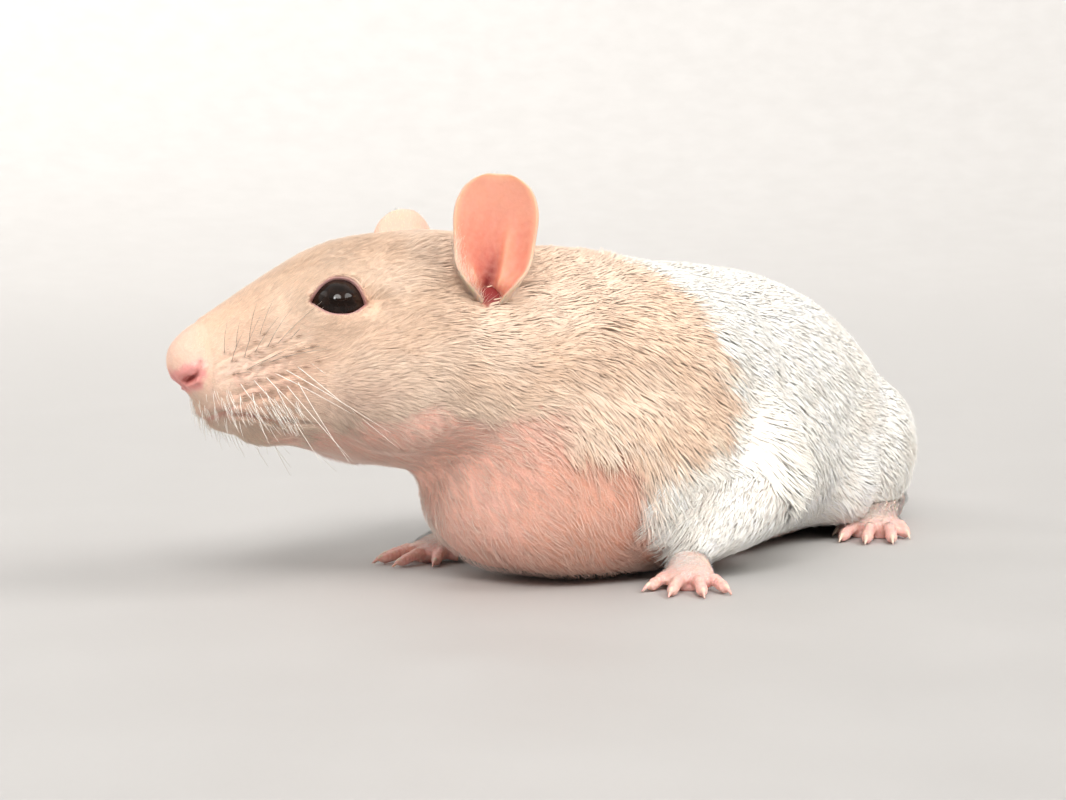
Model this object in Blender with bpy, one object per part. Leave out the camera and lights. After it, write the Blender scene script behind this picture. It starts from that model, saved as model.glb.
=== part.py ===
# A fawn hooded pet rat, life size, lying on its belly with its head raised and turned to its right.
# It faces -Y, its left side is +X, and it rests on the floor at Z = 0.
# Every size below is in millimetres. The finished solids are scaled to metres in one step at the end.

import math

import bmesh
import bpy
from mathutils import Matrix, Vector

METRES_PER_MM = 0.001
GAP = 0.3  # air kept between two solids that meet
FLOOR_DEPTH = 20.0  # thickness of the block that flattens what touches the floor

LEFT, RIGHT = 1, -1
SIDE_NAMES = {LEFT: "left", RIGHT: "right"}

# Trunk, from the breast to the root of the tail:
# place along Y, half width, height of the back, height of the widest line, height of the underside.
TRUNK = (
    (-29.0, 4.5, 21.0, 13.5, 7.5),
    (-26.0, 10.0, 26.0, 14.0, 3.5),
    (-20.0, 15.0, 32.5, 15.0, 0.8),
    (-12.0, 18.8, 38.0, 16.0, -0.8),
    (-2.0, 21.0, 41.0, 16.5, -1.4),
    (10.0, 22.5, 42.2, 17.0, -1.6),
    (24.0, 24.0, 42.0, 16.5, -1.6),
    (38.0, 24.8, 40.6, 16.0, -1.6),
    (50.0, 24.0, 36.6, 15.0, -1.2),
    (60.0, 21.5, 31.0, 13.5, -0.6),
    (69.0, 17.0, 25.0, 12.0, 0.5),
    (76.0, 11.5, 19.8, 10.5, 2.0),
    (81.0, 6.5, 15.6, 9.8, 4.2),
    (84.0, 2.5, 12.0, 9.0, 6.2),
)
TRUNK_SQUARENESS = 2.25  # 2 is an ellipse, more is boxier

# The fullness of the breast under the turned head: centre and radii.
BREAST = ((-6.0, -16.0, 13.0), (13.0, 13.0, 12.8))

# Neck: place along X and Y, height of its middle, half width, rise above and drop below the middle.
NECK = (
    (3.0, 12.0, 25.0, 19.5, 16.0, 22.0),
    (1.0, -1.0, 27.0, 19.5, 16.2, 22.0),
    (-3.0, -9.5, 28.0, 18.6, 16.2, 20.5),
    (-7.5, -16.5, 28.4, 17.0, 16.0, 18.0),
    (-12.0, -23.5, 28.8, 14.8, 15.8, 15.2),
)

# Head. Its places are measured from the tip of the nose: back, out from the middle, and height
# above the floor before the head is rolled about a line 30 mm up.
NOSE_TIP = Vector((-33.4, -54.2, 30.0))
HEAD_HEADING = math.radians(-125.0)  # the way that the nose points, in plan
HEAD_ROLL = math.radians(10.0)  # its left side is carried higher
# From the tip of the nose back:
# distance back, half width, height of the top, height of the widest line, height of the underside.
HEAD = (
    (0.4, 1.4, 31.2, 29.9, 28.6),
    (1.3, 2.6, 32.4, 29.8, 27.4),
    (2.8, 3.5, 33.7, 29.4, 25.8),
    (5.0, 4.4, 35.3, 28.6, 23.2),
    (7.5, 5.3, 36.9, 27.8, 21.2),
    (10.5, 6.3, 38.8, 27.4, 19.9),
    (14.5, 7.6, 41.2, 27.2, 18.8),
    (18.5, 9.4, 43.4, 27.2, 17.8),
    (22.5, 11.2, 44.9, 27.2, 16.6),
    (27.5, 12.8, 45.8, 26.8, 15.5),
    (33.5, 13.8, 46.3, 26.6, 14.6),
    (40.0, 14.0, 46.0, 26.6, 14.2),
    (46.0, 13.8, 45.2, 27.0, 14.0),
)
HEAD_SQUARENESS = 2.1
# Rounded forms on the head: back from the nose, out from the middle, height, then the three radii
# along, across and up. Each one with an outward distance is made on both sides.
HEAD_FORMS = (
    (2.9, 0.0, 29.6, 2.7, 3.3, 3.2),  # nose bulb
    (10.6, 3.3, 25.5, 6.4, 4.2, 5.0),  # whisker pad
    (13.2, 0.0, 20.8, 5.0, 3.4, 2.3),  # chin
    (20.6, 5.0, 34.2, 7.2, 5.0, 5.4),  # orbit
    (28.5, 7.0, 24.8, 11.5, 6.8, 8.8),  # cheek
)

EYE_PLACE = (20.6, 6.4, 35.3)  # back from the nose, out from the middle, height
EYE_RADIUS = 3.5
EYE_FACING = (0.36, 1.0, 0.15)  # forward, outward and upward parts of the way that it looks
LID_THICKNESS = 0.9
LID_OPENING = (3.2, 2.7, 2.0)  # half length, height above and below the line of the corners
LID_TILT = math.radians(-9.0)  # how far the front corner sits below the rear one, in the tilted head

NOSTRIL_PLACE = (2.3, 2.7, 28.0)  # back from the nose, out from the middle, height
NOSTRIL_RADII = (1.25, 0.9, 0.6)
MOUTH_FRONT = (5.2, 23.0)  # back from the nose, height of the line where the lips meet
MOUTH_REAR = (21.0, 20.6)
JAW_SPAN = 12.0  # half width of the block that parts the jaw from the head
CLEFT_WIDTH = 0.45  # the groove that splits the upper lip
CLEFT_HEIGHTS = (23.0, 26.8)

EAR_ROOT = (39.2, 11.4, 34.0)  # back from the nose, out from the middle, height
EAR_HEIGHT = 16.9
# Ear, from root to tip: share of its height, half width, half angle of the arc that it is bent to.
EAR = (
    (0.00, 1.5, 125.0),
    (0.12, 2.3, 112.0),
    (0.23, 3.4, 96.0),
    (0.33, 4.4, 82.0),
    (0.46, 4.9, 68.0),
    (0.57, 5.1, 60.0),
    (0.68, 5.0, 53.0),
    (0.80, 4.6, 46.0),
    (0.90, 3.6, 40.0),
    (0.97, 2.2, 35.0),
    (1.00, 1.1, 32.0),
)
# How far each cup turns forward from straight out, and how far it leans outward.
EAR_FORWARD = {LEFT: math.radians(28.0), RIGHT: math.radians(14.0)}
EAR_SPLAY = {LEFT: math.radians(15.0), RIGHT: math.radians(8.0)}
EAR_LEAN_BACK = math.radians(1.5)
EAR_BOW = 1.0  # how far its middle bulges back between root and tip
EAR_THICK_ROOT = 1.3
EAR_THICK_RIM = 0.6
EAR_CUT_LIFT = 1.0  # where the ear is parted from the head, above its root
EAR_CUT_FACING = (0.62, 0.78)  # outward and upward parts of that cut's normal
CANAL_RADII = (0.95, 0.95, 3.2)

# Forelegs from shoulder to wrist: X, Y, Z, half width, rise and drop.
FORELEGS = {
    LEFT: (
        (10.5, 9.0, 26.0, 9.0, 9.0, 9.0),
        (16.4, 8.4, 18.0, 8.0, 8.6, 8.6),
        (20.6, 5.0, 11.0, 6.2, 6.4, 6.4),
        (20.2, -1.6, 7.6, 4.6, 4.7, 4.7),
        (18.0, -7.3, 5.4, 3.5, 3.5, 3.7),
        (16.6, -11.0, 3.9, 2.9, 2.6, 3.0),
    ),
    RIGHT: (
        (-10.5, 11.0, 26.0, 9.0, 9.0, 9.0),
        (-16.8, 11.0, 18.0, 8.0, 8.6, 8.6),
        (-21.8, 8.6, 10.8, 6.2, 6.4, 6.4),
        (-22.4, 3.0, 7.4, 4.6, 4.7, 4.7),
        (-21.6, -2.2, 5.2, 3.5, 3.5, 3.7),
        (-20.9, -5.6, 3.9, 2.9, 2.6, 3.0),
    ),
}
FORELEG_REGION_RADII = (8.6, 14.5, 10.5)
FOREPAW_WRISTS = {LEFT: Vector((16.8, -9.4, 0.0)), RIGHT: Vector((-21.0, -4.0, 0.0))}
FOREPAW_TURN = math.radians(24.0)  # how far the toes point outward
# Palm, from the wrist on: distance, half width, height of its middle, rise and drop.
FOREPAW_PALM = (
    (0.0, 2.4, 3.0, 1.9, 1.9),
    (2.4, 2.8, 2.5, 1.9, 2.0),
    (5.0, 3.2, 1.9, 1.5, 2.3),
    (7.0, 2.9, 1.4, 1.1, 1.6),
)
# Toes of a forepaw: distance of the root, outward place, angle outward, length.
FOREPAW_TOES = (
    (4.4, -2.3, -40.0, 4.4),
    (6.0, -1.0, -13.0, 5.9),
    (6.1, 0.9, 7.0, 6.0),
    (5.0, 2.4, 27.0, 4.8),
)
FOREPAW_THUMB = (2.6, -2.5, -52.0, 1.8)
FOREPAW_TOE_RADIUS = 0.85

# Haunch and knee: centre and radii.
HAUNCH = ((15.4, 54.0, 12.6), (10.4, 18.5, 13.2))
KNEE = ((19.0, 39.0, 10.5), (6.4, 8.5, 9.0))
THIGH_REGION = ((20.5, 51.0, 12.0), (13.5, 22.5, 19.0))
HINDFOOT_HEELS = {LEFT: Vector((18.5, 66.0, 0.0)), RIGHT: Vector((-18.5, 66.0, 0.0))}
HINDFOOT_TURN = math.radians(13.0)
HINDFOOT_SOLE = (
    (0.0, 2.0, 2.6, 1.8, 1.8),
    (2.0, 2.9, 2.8, 2.7, 3.0),
    (9.0, 3.0, 2.8, 2.6, 3.2),
    (17.0, 3.4, 2.3, 2.1, 2.8),
    (22.0, 4.2, 1.8, 1.7, 2.4),
    (24.5, 3.8, 1.4, 1.2, 1.8),
)
HINDFOOT_TOES = (
    (19.5, -3.2, -26.0, 4.4),
    (23.0, -2.4, -11.0, 7.0),
    (23.8, 0.0, 0.0, 7.8),
    (23.0, 2.4, 10.0, 7.0),
    (19.5, 3.2, 25.0, 4.8),
)
HINDFOOT_TOE_RADIUS = 1.0
SEAT_SLACK = 0.25  # added to the gap round the roots of the feet and tail
CLAW_LENGTH = 1.6
CLAW_RADIUS = 0.4

# Tail: X and Y of its line in plan, from inside the rump to the tip.
TAIL_LINE = (
    (0.0, 72.0),
    (0.0, 84.0),
    (-1.5, 98.0),
    (-6.5, 116.0),
    (-17.0, 133.0),
    (-33.0, 146.0),
    (-52.0, 153.0),
    (-72.0, 159.0),
    (-90.0, 168.0),
    (-105.0, 181.0),
)
TAIL_ROOT_RADIUS = 4.3
TAIL_TIP_RADIUS = 0.8
TAIL_ROOT_LIFT = 5.5  # how far the tail's root lies above the place where it would rest
TAIL_REST = 34.0  # length over which it comes down to the floor
TAIL_LENGTHS = 5
TAIL_STEP = 7.0  # distance between the rings of the tail

# Planes that part the flesh: a point, and the way that faces the first node named.
HEAD_PLANE = (Vector((-6.5, -17.5, 0.0)), math.radians(-118.0))
HEAD_REGION_FLOOR = 12.5
NECK_PLANE = (Vector((-2.0, -6.0, 28.0)), Vector((-0.15, -0.78, 0.61)))
CHEST_REAR = 24.0
BELLY_REAR = 50.0

FLESH_VOXEL = 1.25
FLESH_SMOOTHING = 12
FLESH_TRIANGLES = 3300
HEAD_VOXEL = 0.6
HEAD_TRIANGLES = 2600
PAW_VOXEL = 0.32
FOREPAW_TRIANGLES = 340
HINDFOOT_TRIANGLES = 420

# Colour, roughness and metallic value of each finish.
FINISHES = {
    "fawn_fur": ((0.78, 0.60, 0.43), 0.85),
    "white_fur": ((0.90, 0.86, 0.78), 0.85),
    "ear_skin": ((0.82, 0.47, 0.37), 0.55),
    "paw_skin": ((0.86, 0.55, 0.50), 0.55),
    "tail_skin": ((0.78, 0.55, 0.47), 0.60),
    "eye": ((0.02, 0.012, 0.01), 0.08),
}


def clear_scene():
    for obj in list(bpy.data.objects):
        bpy.data.objects.remove(obj)


def eased(rows, steps):
    """The rows made finer by a smooth curve through them."""
    last = len(rows) - 1
    finer = []
    for index in range(last):
        around = (rows[max(index - 1, 0)], rows[index], rows[index + 1], rows[min(index + 2, last)])
        for step in range(steps):
            t = step / steps
            finer.append(
                [
                    0.5 * (2 * b + (c - a) * t + (2 * a - 5 * b + 4 * c - d) * t**2 + (3 * b - a - 3 * c + d) * t**3)
                    for a, b, c, d in zip(*around)
                ]
            )
    finer.append(list(rows[last]))
    return finer


def mesh_object(name, bm):
    bmesh.ops.recalc_face_normals(bm, faces=bm.faces)
    mesh = bpy.data.meshes.new(name)
    bm.to_mesh(mesh)
    bm.free()
    obj = bpy.data.objects.new(name, mesh)
    bpy.context.scene.collection.objects.link(obj)
    return obj


def oval(centre, side, up, half_width, rise, drop, sides, squareness=2.0):
    """A closed ring of points whose upper and lower halves have their own heights."""
    points = []
    for index in range(sides):
        angle = 2 * math.pi * index / sides
        across = math.copysign(abs(math.cos(angle)) ** (2 / squareness), math.cos(angle))
        above = math.copysign(abs(math.sin(angle)) ** (2 / squareness), math.sin(angle))
        height = rise if above > 0 else drop
        points.append(centre + side * (half_width * across) + up * (height * above))
    return points


def loft(name, rings):
    """One closed surface through rings of points, with a point closing each end."""
    bm = bmesh.new()
    loops = [[bm.verts.new(point) for point in ring] for ring in rings]
    count = len(rings[0])
    for first, second in zip(loops, loops[1:]):
        for index in range(count):
            after = (index + 1) % count
            bm.faces.new((first[index], first[after], second[after], second[index]))
    for loop in (loops[0], loops[-1]):
        middle = bm.verts.new(sum((vert.co for vert in loop), Vector()) / count)
        for index in range(count):
            bm.faces.new((loop[index], loop[(index + 1) % count], middle))
    return mesh_object(name, bm)


def limb(name, rows, sides=16, steps=4, grow=0.0, upright=False, squareness=2.0):
    """A tapering form along a curve. Each row is X, Y, Z, half width, rise and drop."""
    rows = eased(rows, steps)
    centres = [Vector(row[:3]) for row in rows]
    rings = []
    for index, row in enumerate(rows):
        along = centres[min(index + 1, len(rows) - 1)] - centres[max(index - 1, 0)]
        if upright:
            along.z = 0.0
        along.normalize()
        side = along.cross(Vector((0.0, 0.0, 1.0))).normalized()
        up = side.cross(along)
        sizes = [size + grow for size in row[3:6]]
        rings.append(oval(centres[index], side, up, *sizes, sides, squareness))
    for end, inward in ((0, 1), (-1, -2)):
        away = (centres[end] - centres[inward]).normalized() * grow
        rings[end] = [point + away for point in rings[end]]
    return loft(name, rings)


def blob(name, centre, radii, turn=None, grow=0.0, detail=3):
    """An ellipsoid. turn is the matrix of its axes."""
    bm = bmesh.new()
    bmesh.ops.create_icosphere(bm, subdivisions=detail, radius=1.0)
    size = Matrix.Diagonal([radius + grow for radius in radii] + [1.0])
    axes = turn.to_4x4() if turn else Matrix.Identity(4)
    bmesh.ops.transform(bm, matrix=Matrix.Translation(centre) @ axes @ size, verts=bm.verts)
    return mesh_object(name, bm)


def block(name, centre, axes, half_sizes):
    bm = bmesh.new()
    bmesh.ops.create_cube(bm, size=2.0)
    size = Matrix.Diagonal([*half_sizes, 1.0])
    bmesh.ops.transform(bm, matrix=Matrix.Translation(centre) @ axes.to_4x4() @ size, verts=bm.verts)
    return mesh_object(name, bm)


def copy_of(obj, name):
    twin = obj.copy()
    twin.data = obj.data.copy()
    twin.name = name
    bpy.context.scene.collection.objects.link(twin)
    return twin


def settle(obj):
    """Applies the object's modifiers."""
    graph = bpy.context.evaluated_depsgraph_get()
    mesh = bpy.data.meshes.new_from_object(obj.evaluated_get(graph))
    obj.modifiers.clear()
    obj.data = mesh
    return obj


def joined(name, objects):
    """The objects' meshes in one object, not yet fused."""
    bm = bmesh.new()
    for obj in objects:
        bm.from_mesh(obj.data)
        bpy.data.objects.remove(obj)
    mesh = bpy.data.meshes.new(name)
    bm.to_mesh(mesh)
    bm.free()
    whole = bpy.data.objects.new(name, mesh)
    bpy.context.scene.collection.objects.link(whole)
    return whole


def melt(obj, voxel, smoothing):
    """Fuses overlapping closed forms into one soft surface."""
    remesh = obj.modifiers.new("fuse", "REMESH")
    remesh.mode = "VOXEL"
    remesh.voxel_size = voxel
    smooth = obj.modifiers.new("soften", "SMOOTH")
    smooth.factor = 0.5
    smooth.iterations = smoothing
    return settle(obj)


def thin_out(obj, triangles):
    bm = bmesh.new()
    bm.from_mesh(obj.data)
    bmesh.ops.triangulate(bm, faces=bm.faces)
    count = len(bm.faces)
    bm.to_mesh(obj.data)
    bm.free()
    decimate = obj.modifiers.new("thin_out", "DECIMATE")
    decimate.ratio = min(1.0, triangles / count)
    return settle(obj)


def carve(obj, other, operation, keep_other=False):
    boolean = obj.modifiers.new(operation.lower(), "BOOLEAN")
    boolean.operation = operation
    boolean.solver = "MANIFOLD"
    boolean.object = other
    settle(obj)
    if not keep_other:
        bpy.data.objects.remove(other)
    return obj


def united(name, objects):
    """One solid from several closed ones that overlap."""
    first, rest = objects[0], objects[1:]
    group = bpy.data.collections.new(name)
    for obj in rest:
        group.objects.link(obj)
    boolean = first.modifiers.new("union", "BOOLEAN")
    boolean.operation = "UNION"
    boolean.solver = "MANIFOLD"
    boolean.operand_type = "COLLECTION"
    boolean.collection = group
    settle(first)
    for obj in rest:
        bpy.data.objects.remove(obj)
    bpy.data.collections.remove(group)
    first.name = name
    return first


def keep_largest(obj):
    """Drops every loose scrap and sealed hollow, and keeps the largest closed surface."""
    bm = bmesh.new()
    bm.from_mesh(obj.data)
    bmesh.ops.remove_doubles(bm, verts=bm.verts, dist=0.0005)
    left = set(bm.faces)
    shells = []
    while left:
        shell, edge_of = set(), [left.pop()]
        while edge_of:
            face = edge_of.pop()
            shell.add(face)
            for edge in face.edges:
                for other in edge.link_faces:
                    if other in left:
                        left.discard(other)
                        edge_of.append(other)
        shells.append(shell)
    shells.sort(key=lambda shell: sum(face.calc_area() for face in shell))
    scraps = [face for shell in shells[:-1] for face in shell]
    bmesh.ops.delete(bm, geom=scraps, context="FACES")
    bmesh.ops.triangulate(bm, faces=bm.faces)
    bm.to_mesh(obj.data)
    bm.free()
    return obj


def level_axes():
    return Matrix.Identity(3)


def floor_block():
    return block("floor_block", (0.0, 90.0, -FLOOR_DEPTH), level_axes(), (200.0, 260.0, FLOOR_DEPTH))


def flatten_underside(obj):
    return carve(obj, floor_block(), "DIFFERENCE")


def head_axes():
    """Columns: forward, to the rat's left, and up."""
    forward = Vector((math.cos(HEAD_HEADING), math.sin(HEAD_HEADING), 0.0))
    level, upright = Vector((-forward.y, forward.x, 0.0)), Vector((0.0, 0.0, 1.0))
    left = level * math.cos(HEAD_ROLL) + upright * math.sin(HEAD_ROLL)
    up = upright * math.cos(HEAD_ROLL) - level * math.sin(HEAD_ROLL)
    return Matrix((forward, left, up)).transposed()


def on_head(back, out, height):
    """A place on the head, from its distance behind the nose, left of the middle, and height."""
    forward, left, up = head_axes().col
    return NOSE_TIP - forward * back + left * out + up * (height - NOSE_TIP.z)


def trunk_form():
    rows = [
        (0.0, along, widest, half_width, top - widest, widest - bottom)
        for along, half_width, top, widest, bottom in TRUNK
    ]
    return limb("trunk", rows, sides=40, steps=5, upright=True, squareness=TRUNK_SQUARENESS)


def neck_form():
    return limb("neck_form", NECK, sides=32, steps=4, upright=True)


def head_form():
    forward, left, up = head_axes().col
    rings = []
    for back, half_width, top, widest, bottom in eased(HEAD, 4):
        centre = on_head(back, 0.0, widest)
        rings.append(oval(centre, left, up, half_width, top - widest, widest - bottom, 36, HEAD_SQUARENESS))
    return loft("head_form", rings)


def head_forms():
    forms = [head_form()]
    for back, out, height, along, across, up in HEAD_FORMS:
        for side in (LEFT, RIGHT) if out else (LEFT,):
            forms.append(blob("form", on_head(back, out * side, height), (along, across, up), head_axes()))
    for side in (LEFT, RIGHT):
        forms.append(blob("lids", eye_centre(side), [EYE_RADIUS + GAP + LID_THICKNESS] * 3))
    return forms


def mirrored(point, side):
    return Vector((point[0] * side, point[1], point[2]))


def leg_forms():
    forms = []
    for side in (LEFT, RIGHT):
        forms.append(limb("foreleg", FORELEGS[side], sides=20, steps=5))
        forms.append(blob("haunch", mirrored(HAUNCH[0], side), HAUNCH[1], detail=4))
        forms.append(blob("knee", mirrored(KNEE[0], side), KNEE[1], detail=4))
    return forms


def flesh_forms():
    """The trunk, neck and legs fused softly, and the head's forms, which keep a finer finish."""
    forms = [trunk_form(), blob("breast", *BREAST, detail=4), neck_form(), head_form(), *leg_forms()]
    return [melt(joined("body", forms), FLESH_VOXEL, FLESH_SMOOTHING), *head_forms()]


def eye_axes(side):
    """Columns: towards the front corner of the lids, outward along the gaze, and up."""
    axes = head_axes()
    forward, out, up = EYE_FACING
    gaze = (axes.col[0] * forward + axes.col[1] * out * side + axes.col[2] * up).normalized()
    front = (axes.col[0] - gaze * axes.col[0].dot(gaze)).normalized()
    above = front.cross(gaze) * side
    if above.z < 0:
        above = -above
    front_low = front * math.cos(LID_TILT) - above * math.sin(LID_TILT)
    above_back = above * math.cos(LID_TILT) + front * math.sin(LID_TILT)
    return Matrix((front_low, gaze, above_back)).transposed()


def eye_centre(side):
    back, out, height = EYE_PLACE
    return on_head(back, out * side, height)


def lid_cutter(side):
    """An almond, drawn out along the gaze, that opens the lids."""
    axes, centre = eye_axes(side), eye_centre(side)
    half_length, above, below = LID_OPENING
    segments = 10
    outline = []
    for index in range(segments):
        t = -1 + 2 * index / segments
        outline.append((t * half_length, above * (1 - abs(t) ** 2.1)))
    for index in range(segments):
        t = 1 - 2 * index / segments
        outline.append((t * half_length, -below * (1 - abs(t) ** 1.8)))
    rings = [
        [centre + axes.col[0] * along + axes.col[2] * up + axes.col[1] * out for along, up in outline]
        for out in (EYE_RADIUS * 0.35, EYE_RADIUS * 3)
    ]
    return loft("lid_cutter", rings)


def ear_axes(side):
    """Columns: across the ear, the way that its cup faces, and up its height."""
    head = head_axes()
    out = head.col[1] * side
    facing = out * math.cos(EAR_FORWARD[side]) + head.col[0] * math.sin(EAR_FORWARD[side])
    up = head.col[2] * math.cos(EAR_SPLAY[side]) + out * math.sin(EAR_SPLAY[side])
    up = (up - head.col[0] * math.sin(EAR_LEAN_BACK)).normalized()
    facing = (facing - up * facing.dot(up)).normalized()
    return Matrix((facing.cross(up), facing, up)).transposed()


def ear_shell(side, grow=0.0):
    """The whole pinna, as a closed curved shell whose root is sunk in the head."""
    axes, root = ear_axes(side), on_head(EAR_ROOT[0], EAR_ROOT[1] * side, EAR_ROOT[2])
    outline = eased(EAR, 1)
    rows, columns = len(outline), 10
    bm = bmesh.new()
    layers = {}
    for row, (rise, half_width, half_angle) in enumerate(outline):
        half_angle = math.radians(half_angle)
        radius = half_width / math.sin(min(half_angle, math.pi / 2))
        half_angle += grow / radius
        for column in range(columns + 1):
            across = -1 + 2 * column / columns
            angle = across * half_angle
            thick = EAR_THICK_RIM + (EAR_THICK_ROOT - EAR_THICK_RIM) * (1 - rise) ** 1.5 * (1 - 0.6 * across**2)
            thick += 2 * grow
            arc_centre = root + axes.col[2] * (EAR_HEIGHT * rise)
            arc_centre += axes.col[1] * (radius - EAR_BOW * math.sin(math.pi * rise))
            spoke = axes.col[0] * math.sin(angle) - axes.col[1] * math.cos(angle)
            for layer, offset in (("front", -0.5), ("back", 0.5)):
                layers[layer, row, column] = bm.verts.new(arc_centre + spoke * (radius + thick * offset))
    for layer in ("front", "back"):
        for row in range(rows - 1):
            for column in range(columns):
                bm.faces.new([layers[layer, row + a, column + b] for a, b in ((0, 0), (0, 1), (1, 1), (1, 0))])
    rim = [(row, 0) for row in range(rows)]
    rim += [(rows - 1, column) for column in range(1, columns + 1)]
    rim += [(row, columns) for row in range(rows - 2, -1, -1)]
    rim += [(0, column) for column in range(columns - 1, 0, -1)]
    for place, after in zip(rim, rim[1:] + rim[:1]):
        bm.faces.new([layers["front", *place], layers["back", *place], layers["back", *after], layers["front", *after]])
    return mesh_object("ear", bm)


def ear_region(side, grow):
    """A block over all of the ear outside the plane where it is parted from the head."""
    forward, left, up = head_axes().col
    normal = left * (EAR_CUT_FACING[0] * side) + up * EAR_CUT_FACING[1]
    root = on_head(EAR_ROOT[0], EAR_ROOT[1] * side, EAR_ROOT[2])
    axes = plane_axes(normal)
    reach = 25.0
    centre = root + axes.col[2] * (EAR_CUT_LIFT - grow + reach)
    return block("ear_region", centre, axes, (reach, reach, reach))


def plane_axes(normal):
    """Columns: two ways along a plane, and its normal."""
    normal = normal.normalized()
    along = normal.cross(Vector((0.0, 0.0, 1.0)))
    if along.length < 0.01:
        along = Vector((1.0, 0.0, 0.0))
    along.normalize()
    return Matrix((along, normal.cross(along), normal)).transposed()


def head_region(grow):
    point, angle = HEAD_PLANE
    facing = Vector((math.cos(angle), math.sin(angle), 0.0))
    across = Vector((-facing.y, facing.x, 0.0))
    reach, span, tall = 45.0, 45.0, 40.0
    centre = point + facing * (reach - grow)
    centre.z = HEAD_REGION_FLOOR - grow + tall
    axes = Matrix((facing, across, Vector((0.0, 0.0, 1.0)))).transposed()
    return block("head_region", centre, axes, (reach, span, tall))


def neck_region(grow):
    point, normal = NECK_PLANE
    axes = plane_axes(normal)
    reach, span = 30.0, 40.0
    centre = point + axes.col[2] * (reach - grow)
    return block("neck_region", centre, axes, (span, span, reach))


def front_region(rear, grow):
    """Everything in front of a place along the trunk."""
    reach, span = 60.0, 60.0
    return block("front_region", (0.0, rear + grow - reach, 20.0), level_axes(), (span, reach, span))


def jaw_region(grow):
    """A wedge under the line of the mouth, which parts the jaw from the head."""
    forward, left, up = head_axes().col
    rise_per_mm = (MOUTH_REAR[1] - MOUTH_FRONT[1]) / (MOUTH_REAR[0] - MOUTH_FRONT[0])
    front_height = MOUTH_FRONT[1] - 6.0 * rise_per_mm
    length = MOUTH_REAR[0] - MOUTH_FRONT[0] + 6.0 + grow
    rear_height = front_height + length * rise_per_mm
    depth = 16.0
    rings = []
    for back, height in ((0.0, front_height), (length, rear_height)):
        back += MOUTH_FRONT[0] - 6.0
        low = height - depth
        corners = ((-JAW_SPAN, low), (JAW_SPAN, low), (JAW_SPAN, height + grow), (-JAW_SPAN, height + grow))
        rings.append([on_head(back, out, place) for out, place in corners])
    return loft("jaw_region", rings)


def paw_place(start, turn, side, forward, outward, height):
    """A place on a paw, from its start."""
    ahead = Vector((math.sin(turn) * side, -math.cos(turn), 0.0))
    out = Vector((math.cos(turn) * side, math.sin(turn), 0.0))
    return start + ahead * forward + out * outward + Vector((0.0, 0.0, height))


def sole_form(start, turn, side, rows, grow=0.0):
    points = [
        (*paw_place(start, turn, side, forward, 0.0, height), half_width, rise, drop)
        for forward, half_width, height, rise, drop in rows
    ]
    return limb("sole", points, sides=16, steps=3, grow=grow, upright=True)


def toe_form(start, turn, side, root, sideways, angle, length, radius, grow=0.0):
    """One toe, arched at its knuckle, with a round tip."""
    angle = math.radians(angle)
    rows = []
    arch = ((-0.25, 1.25, 1.0), (0.12, 1.55, 1.0), (0.42, 1.75, 0.95), (0.72, 1.15, 0.92), (0.94, 0.85, 0.88), (1.06, 0.8, 0.5))
    for share, height, girth in arch:
        reach = length * share
        place = paw_place(
            start, turn, side, root + reach * math.cos(angle), sideways + reach * math.sin(angle), height * radius
        )
        rows.append((*place, radius * girth, radius * girth, radius * girth))
    return limb("toe", rows, sides=10, steps=3, grow=grow)


def claw_form(start, turn, side, root, sideways, angle, length, radius):
    angle = math.radians(angle)
    rows = []
    for share, height, girth in ((-0.5, 1.15, 1.0), (0.1, 1.05, 1.0), (0.6, 0.65, 0.62), (1.0, 0.2, 0.25)):
        reach = length + CLAW_LENGTH * share
        place = paw_place(
            start, turn, side, root + reach * math.cos(angle), sideways + reach * math.sin(angle), height * radius
        )
        rows.append((*place, CLAW_RADIUS * girth, CLAW_RADIUS * girth, CLAW_RADIUS * girth))
    return limb("claw", rows, sides=5, steps=1)


def paw(name, start, turn, side, sole, toes, radius, triangles):
    """A foot with its toes fused softly, and a claw on each."""
    forms = [sole_form(start, turn, side, sole)]
    forms += [toe_form(start, turn, side, *toe, radius) for toe in toes]
    foot = melt(joined(name, forms), PAW_VOXEL, 3)
    thin_out(foot, triangles)
    claws = [claw_form(start, turn, side, *toe, radius) for toe in toes if toe is not FOREPAW_THUMB]
    foot = united(name, [foot, *claws])
    return keep_largest(flatten_underside(foot))


def forepaw(side):
    toes = (*FOREPAW_TOES, FOREPAW_THUMB)
    name = f"forepaw_{SIDE_NAMES[side]}"
    return paw(name, FOREPAW_WRISTS[side], FOREPAW_TURN, side, FOREPAW_PALM, toes, FOREPAW_TOE_RADIUS, FOREPAW_TRIANGLES)


def hindfoot(side):
    name = f"hindfoot_{SIDE_NAMES[side]}"
    return paw(
        name, HINDFOOT_HEELS[side], HINDFOOT_TURN, side, HINDFOOT_SOLE, HINDFOOT_TOES, HINDFOOT_TOE_RADIUS, HINDFOOT_TRIANGLES
    )


def paw_seats(side):
    """The room that the flesh leaves for the root and the toes of each foot."""
    room = GAP + SEAT_SLACK
    fore = (FOREPAW_WRISTS[side], FOREPAW_TURN, side)
    hind = (HINDFOOT_HEELS[side], HINDFOOT_TURN, side)
    seats = [sole_form(*fore, FOREPAW_PALM, room), sole_form(*hind, HINDFOOT_SOLE, room)]
    seats += [toe_form(*fore, *toe, FOREPAW_TOE_RADIUS, room) for toe in (*FOREPAW_TOES, FOREPAW_THUMB)]
    seats += [toe_form(*hind, *toe, HINDFOOT_TOE_RADIUS, room) for toe in HINDFOOT_TOES]
    return seats


def tail_course():
    """The tail's line in plan, and the length along it at each of its points."""
    line = eased(TAIL_LINE, 8)
    lengths = [0.0]
    for before, here in zip(line, line[1:]):
        lengths.append(lengths[-1] + math.dist(before, here))
    return line, lengths


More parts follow.
